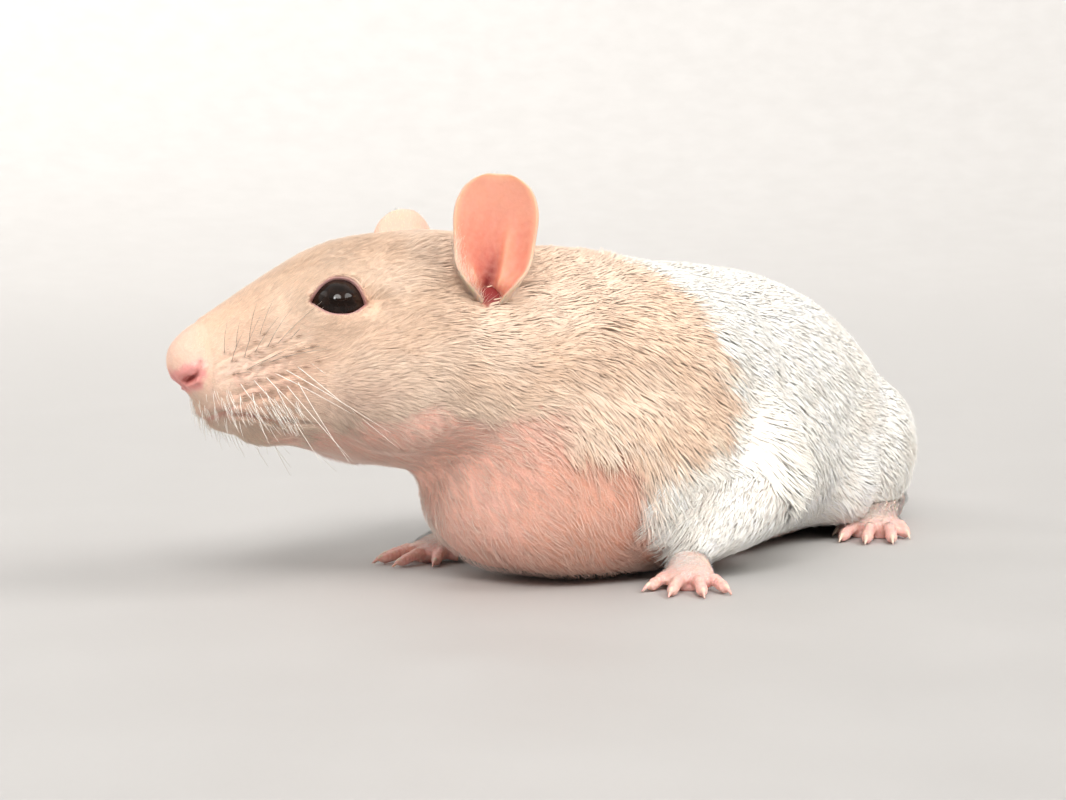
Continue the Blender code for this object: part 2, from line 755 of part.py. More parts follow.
def tail_place(length):
    """The middle of the tail and its radius at a length from its root."""
    line, lengths = tail_course()
    whole = lengths[-1]
    length = min(length, whole)
    after = next(number for number, place in enumerate(lengths[1:], 1) if place >= length - 1e-6)
    mix = (length - lengths[after - 1]) / (lengths[after] - lengths[after - 1])
    x, y = (a + (b - a) * mix for a, b in zip(line[after - 1], line[after]))
    radius = TAIL_ROOT_RADIUS + (TAIL_TIP_RADIUS - TAIL_ROOT_RADIUS) * (max(length, 0.0) / whole) ** 0.82
    fall = min(1.0, max(0.0, 1 - length / TAIL_REST))
    height = radius * 0.94 + TAIL_ROOT_LIFT * fall * fall * (3 - 2 * fall)
    return Vector((x, y, height)), radius


def tail_form(name, start, end, grow=0.0):
    """The tail from one length along it to another."""
    count = max(3, round((end - start) / TAIL_STEP) + 1)
    rings = []
    for index in range(count):
        length = start + (end - start) * index / (count - 1)
        centre, radius = tail_place(length)
        along = (tail_place(length + 0.5)[0] - tail_place(length - 0.5)[0]).normalized()
        side = along.cross(Vector((0.0, 0.0, 1.0))).normalized()
        rings.append(oval(centre, side, side.cross(along), *[radius + grow] * 3, 14))
    return loft(name, rings)


def tail_lengths():
    """The tail in a few lengths, each a little clear of the next."""
    each = tail_course()[1][-1] / TAIL_LENGTHS
    lengths = []
    for number in range(TAIL_LENGTHS):
        start = number * each + (GAP / 2 if number else 0.0)
        end = (number + 1) * each - (GAP / 2 if number < TAIL_LENGTHS - 1 else 0.0)
        length = tail_form(f"tail_{number + 1}", start, end)
        lengths.append(keep_largest(flatten_underside(length)))
    return lengths


def part_off(rest, name, region, region_grown):
    """Takes what lies in a region away from the rest, with a gap between the two."""
    piece = copy_of(rest, name)
    carve(piece, region, "INTERSECT")
    carve(rest, region_grown, "DIFFERENCE")
    return keep_largest(piece)


def head_with_details():
    """The head at a finer scale, with its lids, ears' stumps, nostrils and cleft lip."""
    whole = melt(joined("head", flesh_forms()), HEAD_VOXEL, 5)
    carve(whole, head_region(0.0), "INTERSECT")
    keep_largest(whole)
    thin_out(whole, HEAD_TRIANGLES)
    additions = []
    for side in (LEFT, RIGHT):
        stump = ear_shell(side)
        carve(stump, ear_region(side, GAP), "DIFFERENCE")
        additions.append(keep_largest(stump))
    head = united("head", [whole, *additions])
    for side in (LEFT, RIGHT):
        carve(head, blob("socket", eye_centre(side), [EYE_RADIUS + GAP] * 3, detail=3), "DIFFERENCE")
        carve(head, lid_cutter(side), "DIFFERENCE")
        back, out, height = NOSTRIL_PLACE
        tilt = Matrix.Rotation(math.radians(-28.0 * side), 3, "Z")
        nostril = blob("nostril", on_head(back, out * side, height), NOSTRIL_RADII, tilt @ head_axes(), detail=2)
        carve(head, nostril, "DIFFERENCE")
        seat = carve(ear_shell(side, GAP), ear_region(side, GAP), "INTERSECT")
        carve(head, seat, "DIFFERENCE")
        root = on_head(EAR_ROOT[0], EAR_ROOT[1] * side, EAR_ROOT[2])
        canal = root + ear_axes(side).col[1] * EAR[0][1]
        carve(head, blob("canal", canal, CANAL_RADII, ear_axes(side), detail=2), "DIFFERENCE")
    low, high = CLEFT_HEIGHTS
    cleft = block(
        "cleft", on_head(3.2, 0.0, (low + high) / 2), head_axes(), (2.0, CLEFT_WIDTH / 2, (high - low) / 2)
    )
    carve(head, cleft, "DIFFERENCE")
    carve(head, block_outside_head(), "INTERSECT")
    return keep_largest(head)


def block_outside_head():
    return head_region(-GAP / 2)


def finish_of(name):
    if name.startswith("eye"):
        return "eye"
    if name.startswith("ear"):
        return "ear_skin"
    if name.startswith(("forepaw", "hindfoot")):
        return "paw_skin"
    if name.startswith("tail"):
        return "tail_skin"
    if name in ("head", "jaw", "neck", "chest"):
        return "fawn_fur"
    return "white_fur"


def make_materials():
    materials = {}
    for name, (colour, roughness) in FINISHES.items():
        material = bpy.data.materials.new(name)
        material.use_nodes = True
        shader = material.node_tree.nodes["Principled BSDF"]
        shader.inputs["Base Color"].default_value = (*colour, 1.0)
        shader.inputs["Roughness"].default_value = roughness
        shader.inputs["Metallic"].default_value = 0.0
        materials[name] = material
    return materials


def centre_on_floor(objects):
    """Scales the solids to metres, and puts the middle of the whole over the origin."""
    corners = [vert.co for obj in objects for vert in obj.data.vertices]
    middle_x = (min(c.x for c in corners) + max(c.x for c in corners)) / 2
    middle_y = (min(c.y for c in corners) + max(c.y for c in corners)) / 2
    place = Matrix.Scale(METRES_PER_MM, 4) @ Matrix.Translation((-middle_x, -middle_y, 0.0))
    for obj in objects:
        obj.data.transform(place)
    print("middle of the whole, in millimetres:", round(middle_x, 3), round(middle_y, 3))


def build():
    clear_scene()
    nodes = []

    head = head_with_details()
    jaw = part_off(head, "jaw", jaw_region(0.0), jaw_region(GAP))
    nodes += [keep_largest(head), jaw]

    flesh = thin_out(melt(joined("flesh", flesh_forms()), FLESH_VOXEL, 2), FLESH_TRIANGLES)
    flatten_underside(flesh)
    carve(flesh, head_region(GAP / 2), "DIFFERENCE")
    keep_largest(flesh)
    carve(flesh, tail_form("tail_seat", -GAP, TAIL_REST, GAP + SEAT_SLACK), "DIFFERENCE")
    for side in (LEFT, RIGHT):
        for seat in paw_seats(side):
            carve(flesh, seat, "DIFFERENCE")
    keep_largest(flesh)

    for side in (LEFT, RIGHT):
        name = SIDE_NAMES[side]
        elbow, wrist = Vector(FORELEGS[side][2][:3]), Vector(FORELEGS[side][-1][:3])
        centre = (elbow + wrist) / 2
        near, far = (blob("region", centre, FORELEG_REGION_RADII, None, grow) for grow in (0.0, GAP))
        nodes.append(part_off(flesh, f"foreleg_{name}", near, far))
        centre, radii = THIGH_REGION
        near, far = (blob("region", mirrored(centre, side), radii, None, grow) for grow in (0.0, GAP))
        nodes.append(part_off(flesh, f"thigh_{name}", near, far))
    nodes.append(part_off(flesh, "neck", neck_region(0.0), neck_region(GAP)))
    nodes.append(part_off(flesh, "chest", front_region(CHEST_REAR, 0.0), front_region(CHEST_REAR, GAP)))
    nodes.append(part_off(flesh, "belly", front_region(BELLY_REAR, 0.0), front_region(BELLY_REAR, GAP)))
    flesh.name = "rump"
    nodes.append(keep_largest(flesh))

    for side in (LEFT, RIGHT):
        name = SIDE_NAMES[side]
        ear = ear_shell(side)
        carve(ear, ear_region(side, 0.0), "INTERSECT")
        ear.name = f"ear_{name}"
        nodes.append(keep_largest(ear))
        nodes.append(blob(f"eye_{name}", eye_centre(side), [EYE_RADIUS] * 3, detail=3))
        nodes.append(forepaw(side))
        nodes.append(hindfoot(side))
    nodes += tail_lengths()

    materials = make_materials()
    for node in nodes:
        node.data.materials.clear()
        node.data.materials.append(materials[finish_of(node.name)])
        node.data.shade_smooth()
        node.data.set_sharp_from_angle(angle=math.radians(40.0))
    centre_on_floor(nodes)


build()
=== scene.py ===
import math

import bmesh
import bpy
import numpy as np
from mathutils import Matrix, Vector
from mathutils.bvhtree import BVHTree
from mathutils.kdtree import KDTree


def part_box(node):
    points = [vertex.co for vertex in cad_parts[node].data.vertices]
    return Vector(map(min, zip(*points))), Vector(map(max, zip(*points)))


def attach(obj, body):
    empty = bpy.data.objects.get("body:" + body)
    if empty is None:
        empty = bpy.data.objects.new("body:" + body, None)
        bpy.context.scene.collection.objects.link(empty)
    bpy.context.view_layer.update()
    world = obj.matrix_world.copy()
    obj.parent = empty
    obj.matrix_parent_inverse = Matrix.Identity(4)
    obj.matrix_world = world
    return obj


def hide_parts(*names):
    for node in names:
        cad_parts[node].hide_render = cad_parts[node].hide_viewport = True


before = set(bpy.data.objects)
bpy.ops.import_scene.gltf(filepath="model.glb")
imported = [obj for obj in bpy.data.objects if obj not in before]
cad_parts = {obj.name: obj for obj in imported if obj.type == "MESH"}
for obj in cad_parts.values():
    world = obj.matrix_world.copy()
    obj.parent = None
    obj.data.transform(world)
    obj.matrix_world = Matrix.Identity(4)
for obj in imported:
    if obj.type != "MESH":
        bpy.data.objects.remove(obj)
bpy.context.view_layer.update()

# Shapes are made in millimetres and become metres in finishPiece.
millimetre = 0.001
floorGap = 0.02  # that the feet and the tail stay above the floor
tuftShare = 1.0
rng = np.random.default_rng(41)


# Small tools.
def unit(v):
    v = np.asarray(v, float)
    return v / np.maximum(np.linalg.norm(v, axis=-1, keepdims=True), 1e-9)


def ease(low, high, x):
    t = np.clip((np.asarray(x, float) - low) / (high - low), 0, 1)
    return t * t * (3 - 2 * t)


def mix(a, b, t):
    return a + (b - a) * t


def bump(x, width):
    return np.exp(-((x / width) ** 2))


def noise(p, size, seed=0):
    # Soft noise in -1..1 from sine waves in turned directions.
    waves = np.random.default_rng(900 + seed)
    total = np.zeros(len(p))
    for octave in range(3):
        for _ in range(5):
            way = unit(waves.normal(size=3)) * (2 * math.pi / size) * 1.9**octave * waves.uniform(0.7, 1.4)
            total += np.sin(p @ way + waves.uniform(0, 6.28)) / 1.7**octave
    return np.clip(total / 4.5, -1, 1)


def segmentDistance(p, a, b):
    # Distance of each point from a segment, and how far along it the nearest place is.
    a, b = np.asarray(a, float), np.asarray(b, float)
    along = np.clip((p - a) @ (b - a) / max((b - a) @ (b - a), 1e-9), 0, 1)
    return np.linalg.norm(p - (a + along[:, None] * (b - a)), axis=1), along


def readPoints(mesh):
    flat = np.empty(len(mesh.vertices) * 3, np.float32)
    mesh.vertices.foreach_get("co", flat)
    return flat.reshape(-1, 3).astype(float)


def writePoints(mesh, points):
    mesh.vertices.foreach_set("co", points.astype(np.float32).ravel())
    mesh.update()


def readNormals(mesh):
    flat = np.empty(len(mesh.vertices) * 3, np.float32)
    mesh.vertex_normals.foreach_get("vector", flat)
    return flat.reshape(-1, 3).astype(float)


def setColours(mesh, name, colours):
    layer = mesh.color_attributes.new(name=name, type="FLOAT_COLOR", domain="POINT")
    full = np.ones((len(mesh.vertices), 4), np.float32)
    full[:, :3] = np.clip(colours, 0, 1)
    layer.data.foreach_set("color", full.ravel())


def setValues(mesh, name, values):
    layer = mesh.attributes.new(name=name, type="FLOAT", domain="POINT")
    layer.data.foreach_set("value", np.asarray(values, np.float32))


def addObject(name, data):
    obj = bpy.data.objects.new(name, data)
    bpy.context.scene.collection.objects.link(obj)
    return obj


def newObject(name, points, faces):
    mesh = bpy.data.meshes.new(name)
    mesh.from_pydata([tuple(p) for p in points], [], [tuple(int(i) for i in f) for f in faces])
    mesh.validate()
    return addObject(name, mesh)


def openMesh(mesh):
    bm = bmesh.new()
    bm.from_mesh(mesh)
    return bm


def closeMesh(bm, mesh):
    bm.to_mesh(mesh)
    bm.free()
    mesh.update()


def select(obj):
    bpy.ops.object.select_all(action="DESELECT")
    obj.select_set(True)
    bpy.context.view_layer.objects.active = obj


def joinObjects(objects):
    bpy.ops.object.select_all(action="DESELECT")
    for obj in objects:
        obj.select_set(True)
    bpy.context.view_layer.objects.active = objects[0]
    bpy.ops.object.join()
    return objects[0]


def remesh(obj, voxel):
    select(obj)
    obj.data.remesh_voxel_size = voxel
    bpy.ops.object.voxel_remesh()


def smoothVerts(bm, verts, turns, factor=0.5):
    for _ in range(turns):
        bmesh.ops.smooth_vert(
            bm, verts=verts, factor=factor, use_axis_x=True, use_axis_y=True, use_axis_z=True
        )


def soften(obj, turns, factor=0.5, chosen=None):
    # Smooths a mesh, or only the places on it that pass a test.
    bm = openMesh(obj.data)
    verts = bm.verts
    if chosen:
        picked = chosen(np.array([v.co for v in bm.verts]))
        verts = [v for v, use in zip(bm.verts, picked) if use]
    smoothVerts(bm, verts, turns, factor)
    closeMesh(bm, obj.data)


def finishPiece(obj, material, replaced=()):
    # Brings a piece from millimetres to metres, gives it its material and joins it to the frame.
    writePoints(obj.data, readPoints(obj.data) * millimetre)
    obj.data.materials.clear()
    obj.data.materials.append(material)
    obj.data.polygons.foreach_set("use_smooth", np.ones(len(obj.data.polygons), bool))
    obj.data.update()
    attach(obj, "root")
    if replaced:
        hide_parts(*replaced)
    return obj


def nodeCopy(name, grow=0.0):
    # A welded copy of a CAD node in millimetres, grown a little along its normals.
    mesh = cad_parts[name].data.copy()
    mesh.materials.clear()
    obj = addObject(name + "_copy", mesh)
    writePoints(mesh, readPoints(mesh) / millimetre)
    bm = openMesh(mesh)
    bmesh.ops.remove_doubles(bm, verts=bm.verts, dist=0.001)
    bmesh.ops.recalc_face_normals(bm, faces=bm.faces)
    bm.normal_update()
    for v in bm.verts:
        v.co += v.normal * grow
    closeMesh(bm, mesh)
    return obj


def blob(name, centre, radii):
    # A rounded form that joins its neighbours in a remesh.
    bm = bmesh.new()
    bmesh.ops.create_icosphere(bm, subdivisions=4, radius=1.0)
    for v in bm.verts:
        v.co = Vector(np.array(centre) + np.array(v.co) * radii)
    mesh = bpy.data.meshes.new(name)
    closeMesh(bm, mesh)
    return addObject(name, mesh)


def curveThrough(points, count):
    # Places evenly along a smooth curve through the points.
    points = np.asarray(points, float)
    padded = np.vstack([2 * points[0] - points[1], points, 2 * points[-1] - points[-2]])
    fine = []
    for i in range(1, len(padded) - 2):
        a, b, c, d = padded[i - 1 : i + 3]
        for t in np.linspace(0, 1, 16, endpoint=False):
            bend = (2 * a - 5 * b + 4 * c - d) * t**2
            fine.append(0.5 * (2 * b + (c - a) * t + bend + (3 * b - a - 3 * c + d) * t**3))
    fine.append(points[-1])
    fine = np.array(fine)
    lengths = np.concatenate([[0], np.cumsum(np.linalg.norm(np.diff(fine, axis=0), axis=1))])
    wanted = np.linspace(0, lengths[-1], count)
    return np.stack([np.interp(wanted, lengths, fine[:, k]) for k in range(fine.shape[1])], axis=1)


def tube(path, radii, sides, reference=(0, 0, 1)):
    # Points and faces of a closed tube along a path.
    path = np.asarray(path, float)
    count = len(path)
    along = unit(np.gradient(path, axis=0))
    side = unit(np.cross(along, np.array(reference, float)))
    over = np.cross(side, along)
    angles = np.arange(sides) * 2 * math.pi / sides
    ring = side[:, None, :] * np.cos(angles)[None, :, None] + over[:, None, :] * np.sin(angles)[None, :, None]
    points = (path[:, None, :] + ring * np.asarray(radii, float)[:, None, None]).reshape(-1, 3)
    faces = []
    for i in range(count - 1):
        for j in range(sides):
            k = (j + 1) % sides
            faces.append((i * sides + j, i * sides + k, (i + 1) * sides + k, (i + 1) * sides + j))
    faces.append(tuple(range(sides - 1, -1, -1)))
    faces.append(tuple((count - 1) * sides + j for j in range(sides)))
    return points, faces


def addTube(parts, path, radii, sides, reference=(0, 0, 1)):
    # Adds a tube to a piece that is made of many, and says how many points it has.
    points, faces = tube(path, radii, sides, reference)
    offset = sum(len(p) for p in parts["points"])
    parts["points"].append(points)
    parts["faces"] += [tuple(i + offset for i in f) for f in faces]
    return len(points)


# Shader tools.
class Socket:
    # An output socket that does arithmetic.

    def __init__(self, maker, out):
        self.maker, self.out = maker, out

    def maths(self, kind, *others):
        return self.maker.node("ShaderNodeMath", *[self, *others], operation=kind)

    def __add__(self, other):
        return self.maths("ADD", other)

    __radd__ = __add__

    def __mul__(self, other):
        return self.maths("MULTIPLY", other)

    __rmul__ = __mul__

    def __sub__(self, other):
        return self.maths("SUBTRACT", other)

    def __rsub__(self, other):
        return self.maker.node("ShaderNodeMath", other, self, operation="SUBTRACT")


class Finish:
    # A Principled material and the nodes that vary it.

    def __init__(self, name, roughness=0.5, **constants):
        self.material = bpy.data.materials.new(name)
        self.material.use_nodes = True
        self.tree = self.material.node_tree
        self.shader = self.tree.nodes["Principled BSDF"]
        self.shader.inputs["Roughness"].default_value = roughness
        for socket, value in constants.items():
            self.shader.inputs[socket.replace("_", " ")].default_value = value

    def flesh(self, weight, radius):
        # Lets light into the skin, which comes out redder.
        for name, value in (("Weight", weight), ("Radius", radius), ("Scale", 1.0)):
            self.shader.inputs["Subsurface " + name].default_value = value

    def node(self, kind, *inputs, output=0, named=None, **settings):
        node = self.tree.nodes.new(kind)
        for key, value in settings.items():
            setattr(node, key, value)
        for index, value in enumerate(inputs):
            self.feed(node.inputs[index], value)
        for key, value in (named or {}).items():
            self.feed(node.inputs[key], value)
        return Socket(self, node.outputs[output])

    def feed(self, socket, value):
        if isinstance(value, Socket):
            self.tree.links.new(value.out, socket)
        elif value is not None:
            socket.default_value = value

    def place(self):
        return self.node("ShaderNodeTexCoord", output="Object")

    def attribute(self, name, output="Color"):
        return self.node("ShaderNodeAttribute", output=output, attribute_name=name)

    def noise(self, scale, detail=3.0):
        values = {"Vector": self.place(), "Scale": scale, "Detail": detail}
        return self.node("ShaderNodeTexNoise", named=values)

    def cells(self, scale):
        return self.node("ShaderNodeTexVoronoi", named={"Vector": self.place(), "Scale": scale})

    def span(self, value, low, high, start=0.0, end=1.0):
        return self.node("ShaderNodeMapRange", value, low, high, start, end)

    def blend(self, factor, a, b, kind="MIX"):
        node = self.tree.nodes.new("ShaderNodeMix")
        node.data_type = "RGBA"
        node.blend_type = kind
        self.feed(node.inputs[0], factor)
        self.feed(node.inputs[6], a)
        self.feed(node.inputs[7], b)
        return Socket(self, node.outputs[2])

    def relief(self, height, distance, strength):
        values = {"Strength": strength, "Distance": distance, "Height": height}
        return self.node("ShaderNodeBump", named=values)

    def colour(self, value):
        self.feed(self.shader.inputs["Base Color"], value)

    def rough(self, value):
        self.feed(self.shader.inputs["Roughness"], value)

    def normal(self, value):
        self.feed(self.shader.inputs["Normal"], value)


# Camera, light and floor.
view = {"target": (33.15, -76.08, 23.4), "azimuth": 28.0, "elevation": 4.0, "distance": 276.0, "lens": 70.0}
azimuth, elevation = math.radians(view["azimuth"]), math.radians(view["elevation"])
towardCamera = np.array(
    [math.sin(azimuth) * math.cos(elevation), -math.cos(azimuth) * math.cos(elevation), math.sin(elevation)]
)
cameraData = bpy.data.cameras.new("camera")
cameraData.lens = view["lens"]
cameraData.sensor_width = 36.0
cameraData.clip_start = 0.01
camera = addObject("camera", cameraData)
camera.location = Vector((np.array(view["target"]) + towardCamera * view["distance"]) * millimetre)
camera.rotation_euler = Vector(-towardCamera).to_track_quat("-Z", "Y").to_euler()
bpy.context.scene.camera = camera

studio = {
    # Place that the light comes from, strength, angle across, tint.
    "key": ((0.46, -0.76, 0.66), 2.9, 0.5, (1.0, 0.975, 0.945)),
    "side": ((-0.85, -0.50, 0.50), 0.6, 0.80, (1.0, 0.97, 0.94)),
    "flank": ((0.95, 0.10, 0.50), 4.0, 0.80, (1.0, 0.98, 0.95)),
}


def addLight(name, place, strength, spread, tint):
    data = bpy.data.lights.new(name, "SUN")
    data.angle = spread
    data.energy = strength
    data.color = tint
    lamp = addObject(name, data)
    lamp.location = place
    lamp.rotation_euler = (-Vector(place)).to_track_quat("-Z", "Y").to_euler()


for lampName, (lampPlace, lampStrength, lampSpread, lampTint) in studio.items():
    addLight(lampName, lampPlace, lampStrength, lampSpread, lampTint)

# A small lamp, for the bright spot in each eye.
spot = {"place": (0.12, -0.40, 0.25), "aim": (0.015, -0.1, 0.035), "size": (0.045, 0.06), "watts": 0.22}
windowData = bpy.data.lights.new("window", "AREA")
windowData.shape = "RECTANGLE"
windowData.size, windowData.size_y = spot["size"]
windowData.energy = spot["watts"]
window = addObject("window", windowData)
window.location = spot["place"]
window.rotation_euler = (Vector(spot["aim"]) - window.location).to_track_quat("-Z", "Y").to_euler()

# The plain transform keeps the warm pale colours of the coat.
bpy.context.scene.view_settings.view_transform = "Standard"
world = bpy.data.worlds.new("studio")
bpy.context.scene.world = world
world.use_nodes = True
world.node_tree.nodes["Background"].inputs["Color"].default_value = (1.0, 0.985, 0.965, 1)
world.node_tree.nodes["Background"].inputs["Strength"].default_value = 0.84

# A wide shallow bowl, so that no horizon line shows from any side.
floorShape = (
    (0.0, 0.0), (0.4, 0.0), (1.2, 0.0), (1.6, 0.03), (2.0, 0.16), (2.4, 0.48), (2.7, 1.0), (2.8, 1.8)
)
floorRings = curveThrough(np.array(floorShape) * 1000, 40)
floorPoints = [(0.0, 0.0, 0.0)]
floorFaces = []
floorSides = 96
for radius, height in floorRings[1:]:
    for j in range(floorSides):
        turn = j * 2 * math.pi / floorSides
        floorPoints.append((radius * math.cos(turn), radius * math.sin(turn), max(height, 0.0)))
for j in range(floorSides):
    floorFaces.append((0, 1 + j, 1 + (j + 1) % floorSides))
for i in range(len(floorRings) - 2):
    for j in range(floorSides):
        a, b = 1 + i * floorSides + j, 1 + i * floorSides + (j + 1) % floorSides
        floorFaces.append((a, a + floorSides, b + floorSides, b))
floor = newObject("floor", np.array(floorPoints) * millimetre, floorFaces)
floor.data.polygons.foreach_set("use_smooth", np.ones(len(floor.data.polygons), bool))
board = Finish("pale_board", roughness=0.62)
grain = board.noise(38.0, 5.0)
board.colour(board.blend(board.span(grain, 0.3, 0.7), (0.45, 0.44, 0.43, 1), (0.48, 0.47, 0.46, 1)))
board.rough(board.span(grain, 0.3, 0.7, 0.56, 0.68))
board.normal(board.relief(board.noise(900.0, 2.0), 0.0001, 0.25))
floor.data.materials.append(board.material)
print("stage ready")


# The animal's own frames.
def middleOf(node):
    low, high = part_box(node)
    return (np.array(low) + np.array(high)) / 2 / millimetre


# Places on the head are back from the nose, out to its left, and height before its roll.
headFrame = {
    "heading": -125.0,
    "eyeBack": 20.6, "eyeHeight": 35.3,
    "earBack": 39.2, "earOut": 11.4, "earHeight": 34.0,
}
eyeAt = {1: middleOf("eye_left"), -1: middleOf("eye_right")}
eyeMiddle = (eyeAt[1] + eyeAt[-1]) / 2
heading = math.radians(headFrame["heading"])
headAhead = np.array([math.cos(heading), math.sin(heading), 0.0])
headLeft = unit(eyeAt[1] - eyeAt[-1])
headUp = np.cross(headAhead, headLeft)


def onHead(back, out, height):
    rise = height - headFrame["eyeHeight"]
    return eyeMiddle - headAhead * (back - headFrame["eyeBack"]) + headLeft * out + headUp * rise


def earRoot(side):
    return onHead(headFrame["earBack"], headFrame["earOut"] * side, headFrame["earHeight"])


def toHead(points):
    rel = points - eyeMiddle
    return headFrame["eyeBack"] - rel @ headAhead, rel @ headLeft, headFrame["eyeHeight"] + rel @ headUp


# The solids were drawn about another origin: this is the step from there.
step = onHead(0, 0, 30.0) - np.array([-33.4, -54.2, 30.0])

eyeShape = {
    "radius": 3.5, "facing": (0.36, 1.0, 0.15), "tilt": -9.0, "half": 3.3, "above": 2.95, "below": 1.8
}


def eyeAxes(side):
    # Rows: towards the front corner, outward along the gaze, and up.
    ahead, out, up = eyeShape["facing"]
    gaze = unit(headAhead * ahead + headLeft * out * side + headUp * up)
    front = unit(headAhead - gaze * (headAhead @ gaze))
    above = np.cross(front, gaze) * side
    if above[2] < 0:
        above = -above
    tilt = math.radians(eyeShape["tilt"])
    forward = front * math.cos(tilt) - above * math.sin(tilt)
    upward = above * math.cos(tilt) + front * math.sin(tilt)
    return np.array([forward, gaze, upward])


def lidHeights(t):
    # Heights of both lids, from -1 at the rear corner to 1 at the front one.
    upper = eyeShape["above"] * (1 - np.abs(t) ** np.where(t > 0, 2.1, 3.0))
    lower = -eyeShape["below"] * (1 - np.abs(t) ** np.where(t > 0, 2.0, 2.9))
    return upper, lower


lidShares = np.linspace(-1, 1, 90)
upperLid, lowerLid = (np.stack([lidShares * eyeShape["half"], h], axis=1) for h in lidHeights(lidShares))
almond = np.vstack([upperLid, lowerLid[::-1][1:-1]])


def almondDistance(along, up):
    # Distance from the line of the lids, negative inside the opening.
    flat = np.stack([along, up], axis=1)
    nearest = np.full(len(flat), 1e9)
    ends = np.roll(almond, -1, axis=0)
    for a, b in zip(almond, ends):
        nearest = np.minimum(nearest, segmentDistance(flat, a, b)[0])
    top, low = lidHeights(np.clip(along / eyeShape["half"], -1, 1))
    inside = (np.abs(along) < eyeShape["half"]) & (up < top) & (up > low)
    return np.where(inside, -nearest, nearest)


# The ears' frame.
ear = {
    "height": {1: 16.9, -1: 17.5}, "forward": {1: 28.0, -1: 14.0}, "splay": {1: 15.0, -1: 5.0},
    "lean": 1.5, "bow": 1.0, "sunk": 2.2, "thickRoot": 1.15, "thickRim": 0.5,
    "places": (60, 44),  # from the root to the tip, and across
    # Share of the height, half width, half angle of the arc.
    "rows": (
        (-0.06, 1.3, 158), (0.0, 1.5, 152), (0.12, 2.3, 132), (0.23, 3.4, 106), (0.33, 4.4, 85),
        (0.46, 4.9, 68), (0.57, 5.1, 60), (0.68, 5.15, 53), (0.80, 4.95, 46), (0.90, 4.15, 40),
        (0.97, 2.7, 35), (1.0, 1.4, 32),
    ),
}


def earAxes(side):
    out = headLeft * side
    forward, splay, lean = (math.radians(v) for v in (ear["forward"][side], ear["splay"][side], ear["lean"]))
    facing = out * math.cos(forward) + headAhead * math.sin(forward)
    up = headUp * math.cos(splay) + out * math.sin(splay)
    up = unit(up - headAhead * math.sin(lean))
    facing = unit(facing - up * (facing @ up))
    return np.array([np.cross(facing, up), facing, up])


# Colours, in linear light.
tones = {
    "fawn": (0.885, 0.625, 0.460),
    "fawnDeep": (0.820, 0.545, 0.360),
    "fawnPale": (0.915, 0.715, 0.570),
    "cream": (0.935, 0.800, 0.680),
    "white": (0.960, 0.930, 0.870),
    "grey": (0.330, 0.270, 0.220),
    "pink": (0.760, 0.330, 0.250),
    "nose": (0.760, 0.340, 0.320),
    "lid": (0.400, 0.200, 0.220),
    "paw": (0.840, 0.480, 0.430),
    "blush": (0.760, 0.480, 0.380),
    "follicle": (0.260, 0.140, 0.090),
    # Painted shade: the dark of the nostrils' openings.
    "nostril": (0.260, 0.035, 0.035),
    # The throat's coat and skin tones are lighter than the belly's: partly their own pinker tone, partly
    # painted light under the jaw.
    "belly": (0.800, 0.475, 0.370),
    "throat": (0.950, 0.610, 0.510),
    "bellySkin": (0.780, 0.410, 0.310),
    "throatSkin": (0.950, 0.540, 0.440),
    # Painted shade: the dark red of each ear canal's opening.
    "canal": (0.240, 0.030, 0.030),
    "ear": (0.740, 0.300, 0.210),
    # Painted light and shade inside the ear: a lighter top, a darker cup and canal slit, and lighter rim and
    # fold ridges.
    "earTopLight": (0.860, 0.440, 0.330),
    "earCupShade": (0.500, 0.100, 0.080),
    "earCanalShade": (0.220, 0.020, 0.020),
    "earRimHighlight": (0.920, 0.500, 0.340),
    "earFoldHighlight": (0.920, 0.460, 0.300),
    "earBack": (0.800, 0.490, 0.390),
    "tail": (0.700, 0.420, 0.320),
    "darkWhisker": (0.200, 0.130, 0.090),
    "paleWhisker": (0.940, 0.900, 0.830),
    "bristle": (0.950, 0.910, 0.850),
}
tones = {name: np.array(value) for name, value in tones.items()}
trunkMiddle = 37.75  # x of the breast's middle
hood = {
    "ragged": 1.3,
    # Height and place along the body of the hood's rear border.
    "border": (
        (5.0, -104.0), (14.0, -80.5), (18.6, -71.0), (23.5, -67.0), (30.0, -69.6), (35.5, -70.8),
        (42.0, -71.6),
    ),
}


def hoodShare(p):
    # 1 on the fawn hood, 0 on the white body, with a ragged border.
    ragged = noise(p, 16, 1) * hood["ragged"] + noise(p, 5, 2) * 2.0
    rear = np.interp(p[:, 2], *np.array(hood["border"]).T)
    outward = np.abs(p[:, 0] - trunkMiddle) + (p[:, 1] + 78) * 0.1
    leg = ease(20, 15, p[:, 2]) * ease(13.5, 16.0, outward)
    return ease(2.2, -2.2, p[:, 1] + ragged - rear) * (1 - leg)


# Back and height of places along each nostril, from its opening to the end of its groove.
nostril = ((2.15, 27.1), (2.65, 27.2), (3.05, 27.6), (3.32, 28.3), (3.42, 29.1))


def alongNostril(p):
    # Distance from the line of the nostril, and how far along it.
    back, out, height = toHead(p)
    flat = np.stack([back, height], axis=1)
    apart, reach = np.full(len(p), 9.0), np.zeros(len(p))
    for number, (a, b) in enumerate(zip(nostril, nostril[1:])):
        here, along = segmentDistance(flat, a, b)
        reach = np.where(here < apart, (number + along) / (len(nostril) - 1), reach)
        apart = np.minimum(here, apart)
    return apart, reach, ease(0.6, 1.2, np.abs(out))


def nostrilShare(p):
    # 1 in the opening of each nostril, where painted shade darkens the skin.
    apart, reach, outward = alongNostril(p)
    return bump(apart, mix(0.34, 0.14, reach)) * ease(0.85, 0.25, reach) * outward


def bareShare(p):
    # 1 where the skin is bare: the nose, the rims of the lids and the tips of the lips.
    back, out, height = toHead(p)
    upper = np.interp(back, [0.0, 1.5, 3.6], [28.6, 28.9, 29.5])
    ragged = noise(p, 1.6, 31) * 0.35
    return ease(4.3, 3.3, back + ragged) * ease(0.5, -0.9, height - upper + ragged) * ease(25.4, 26.4, height)


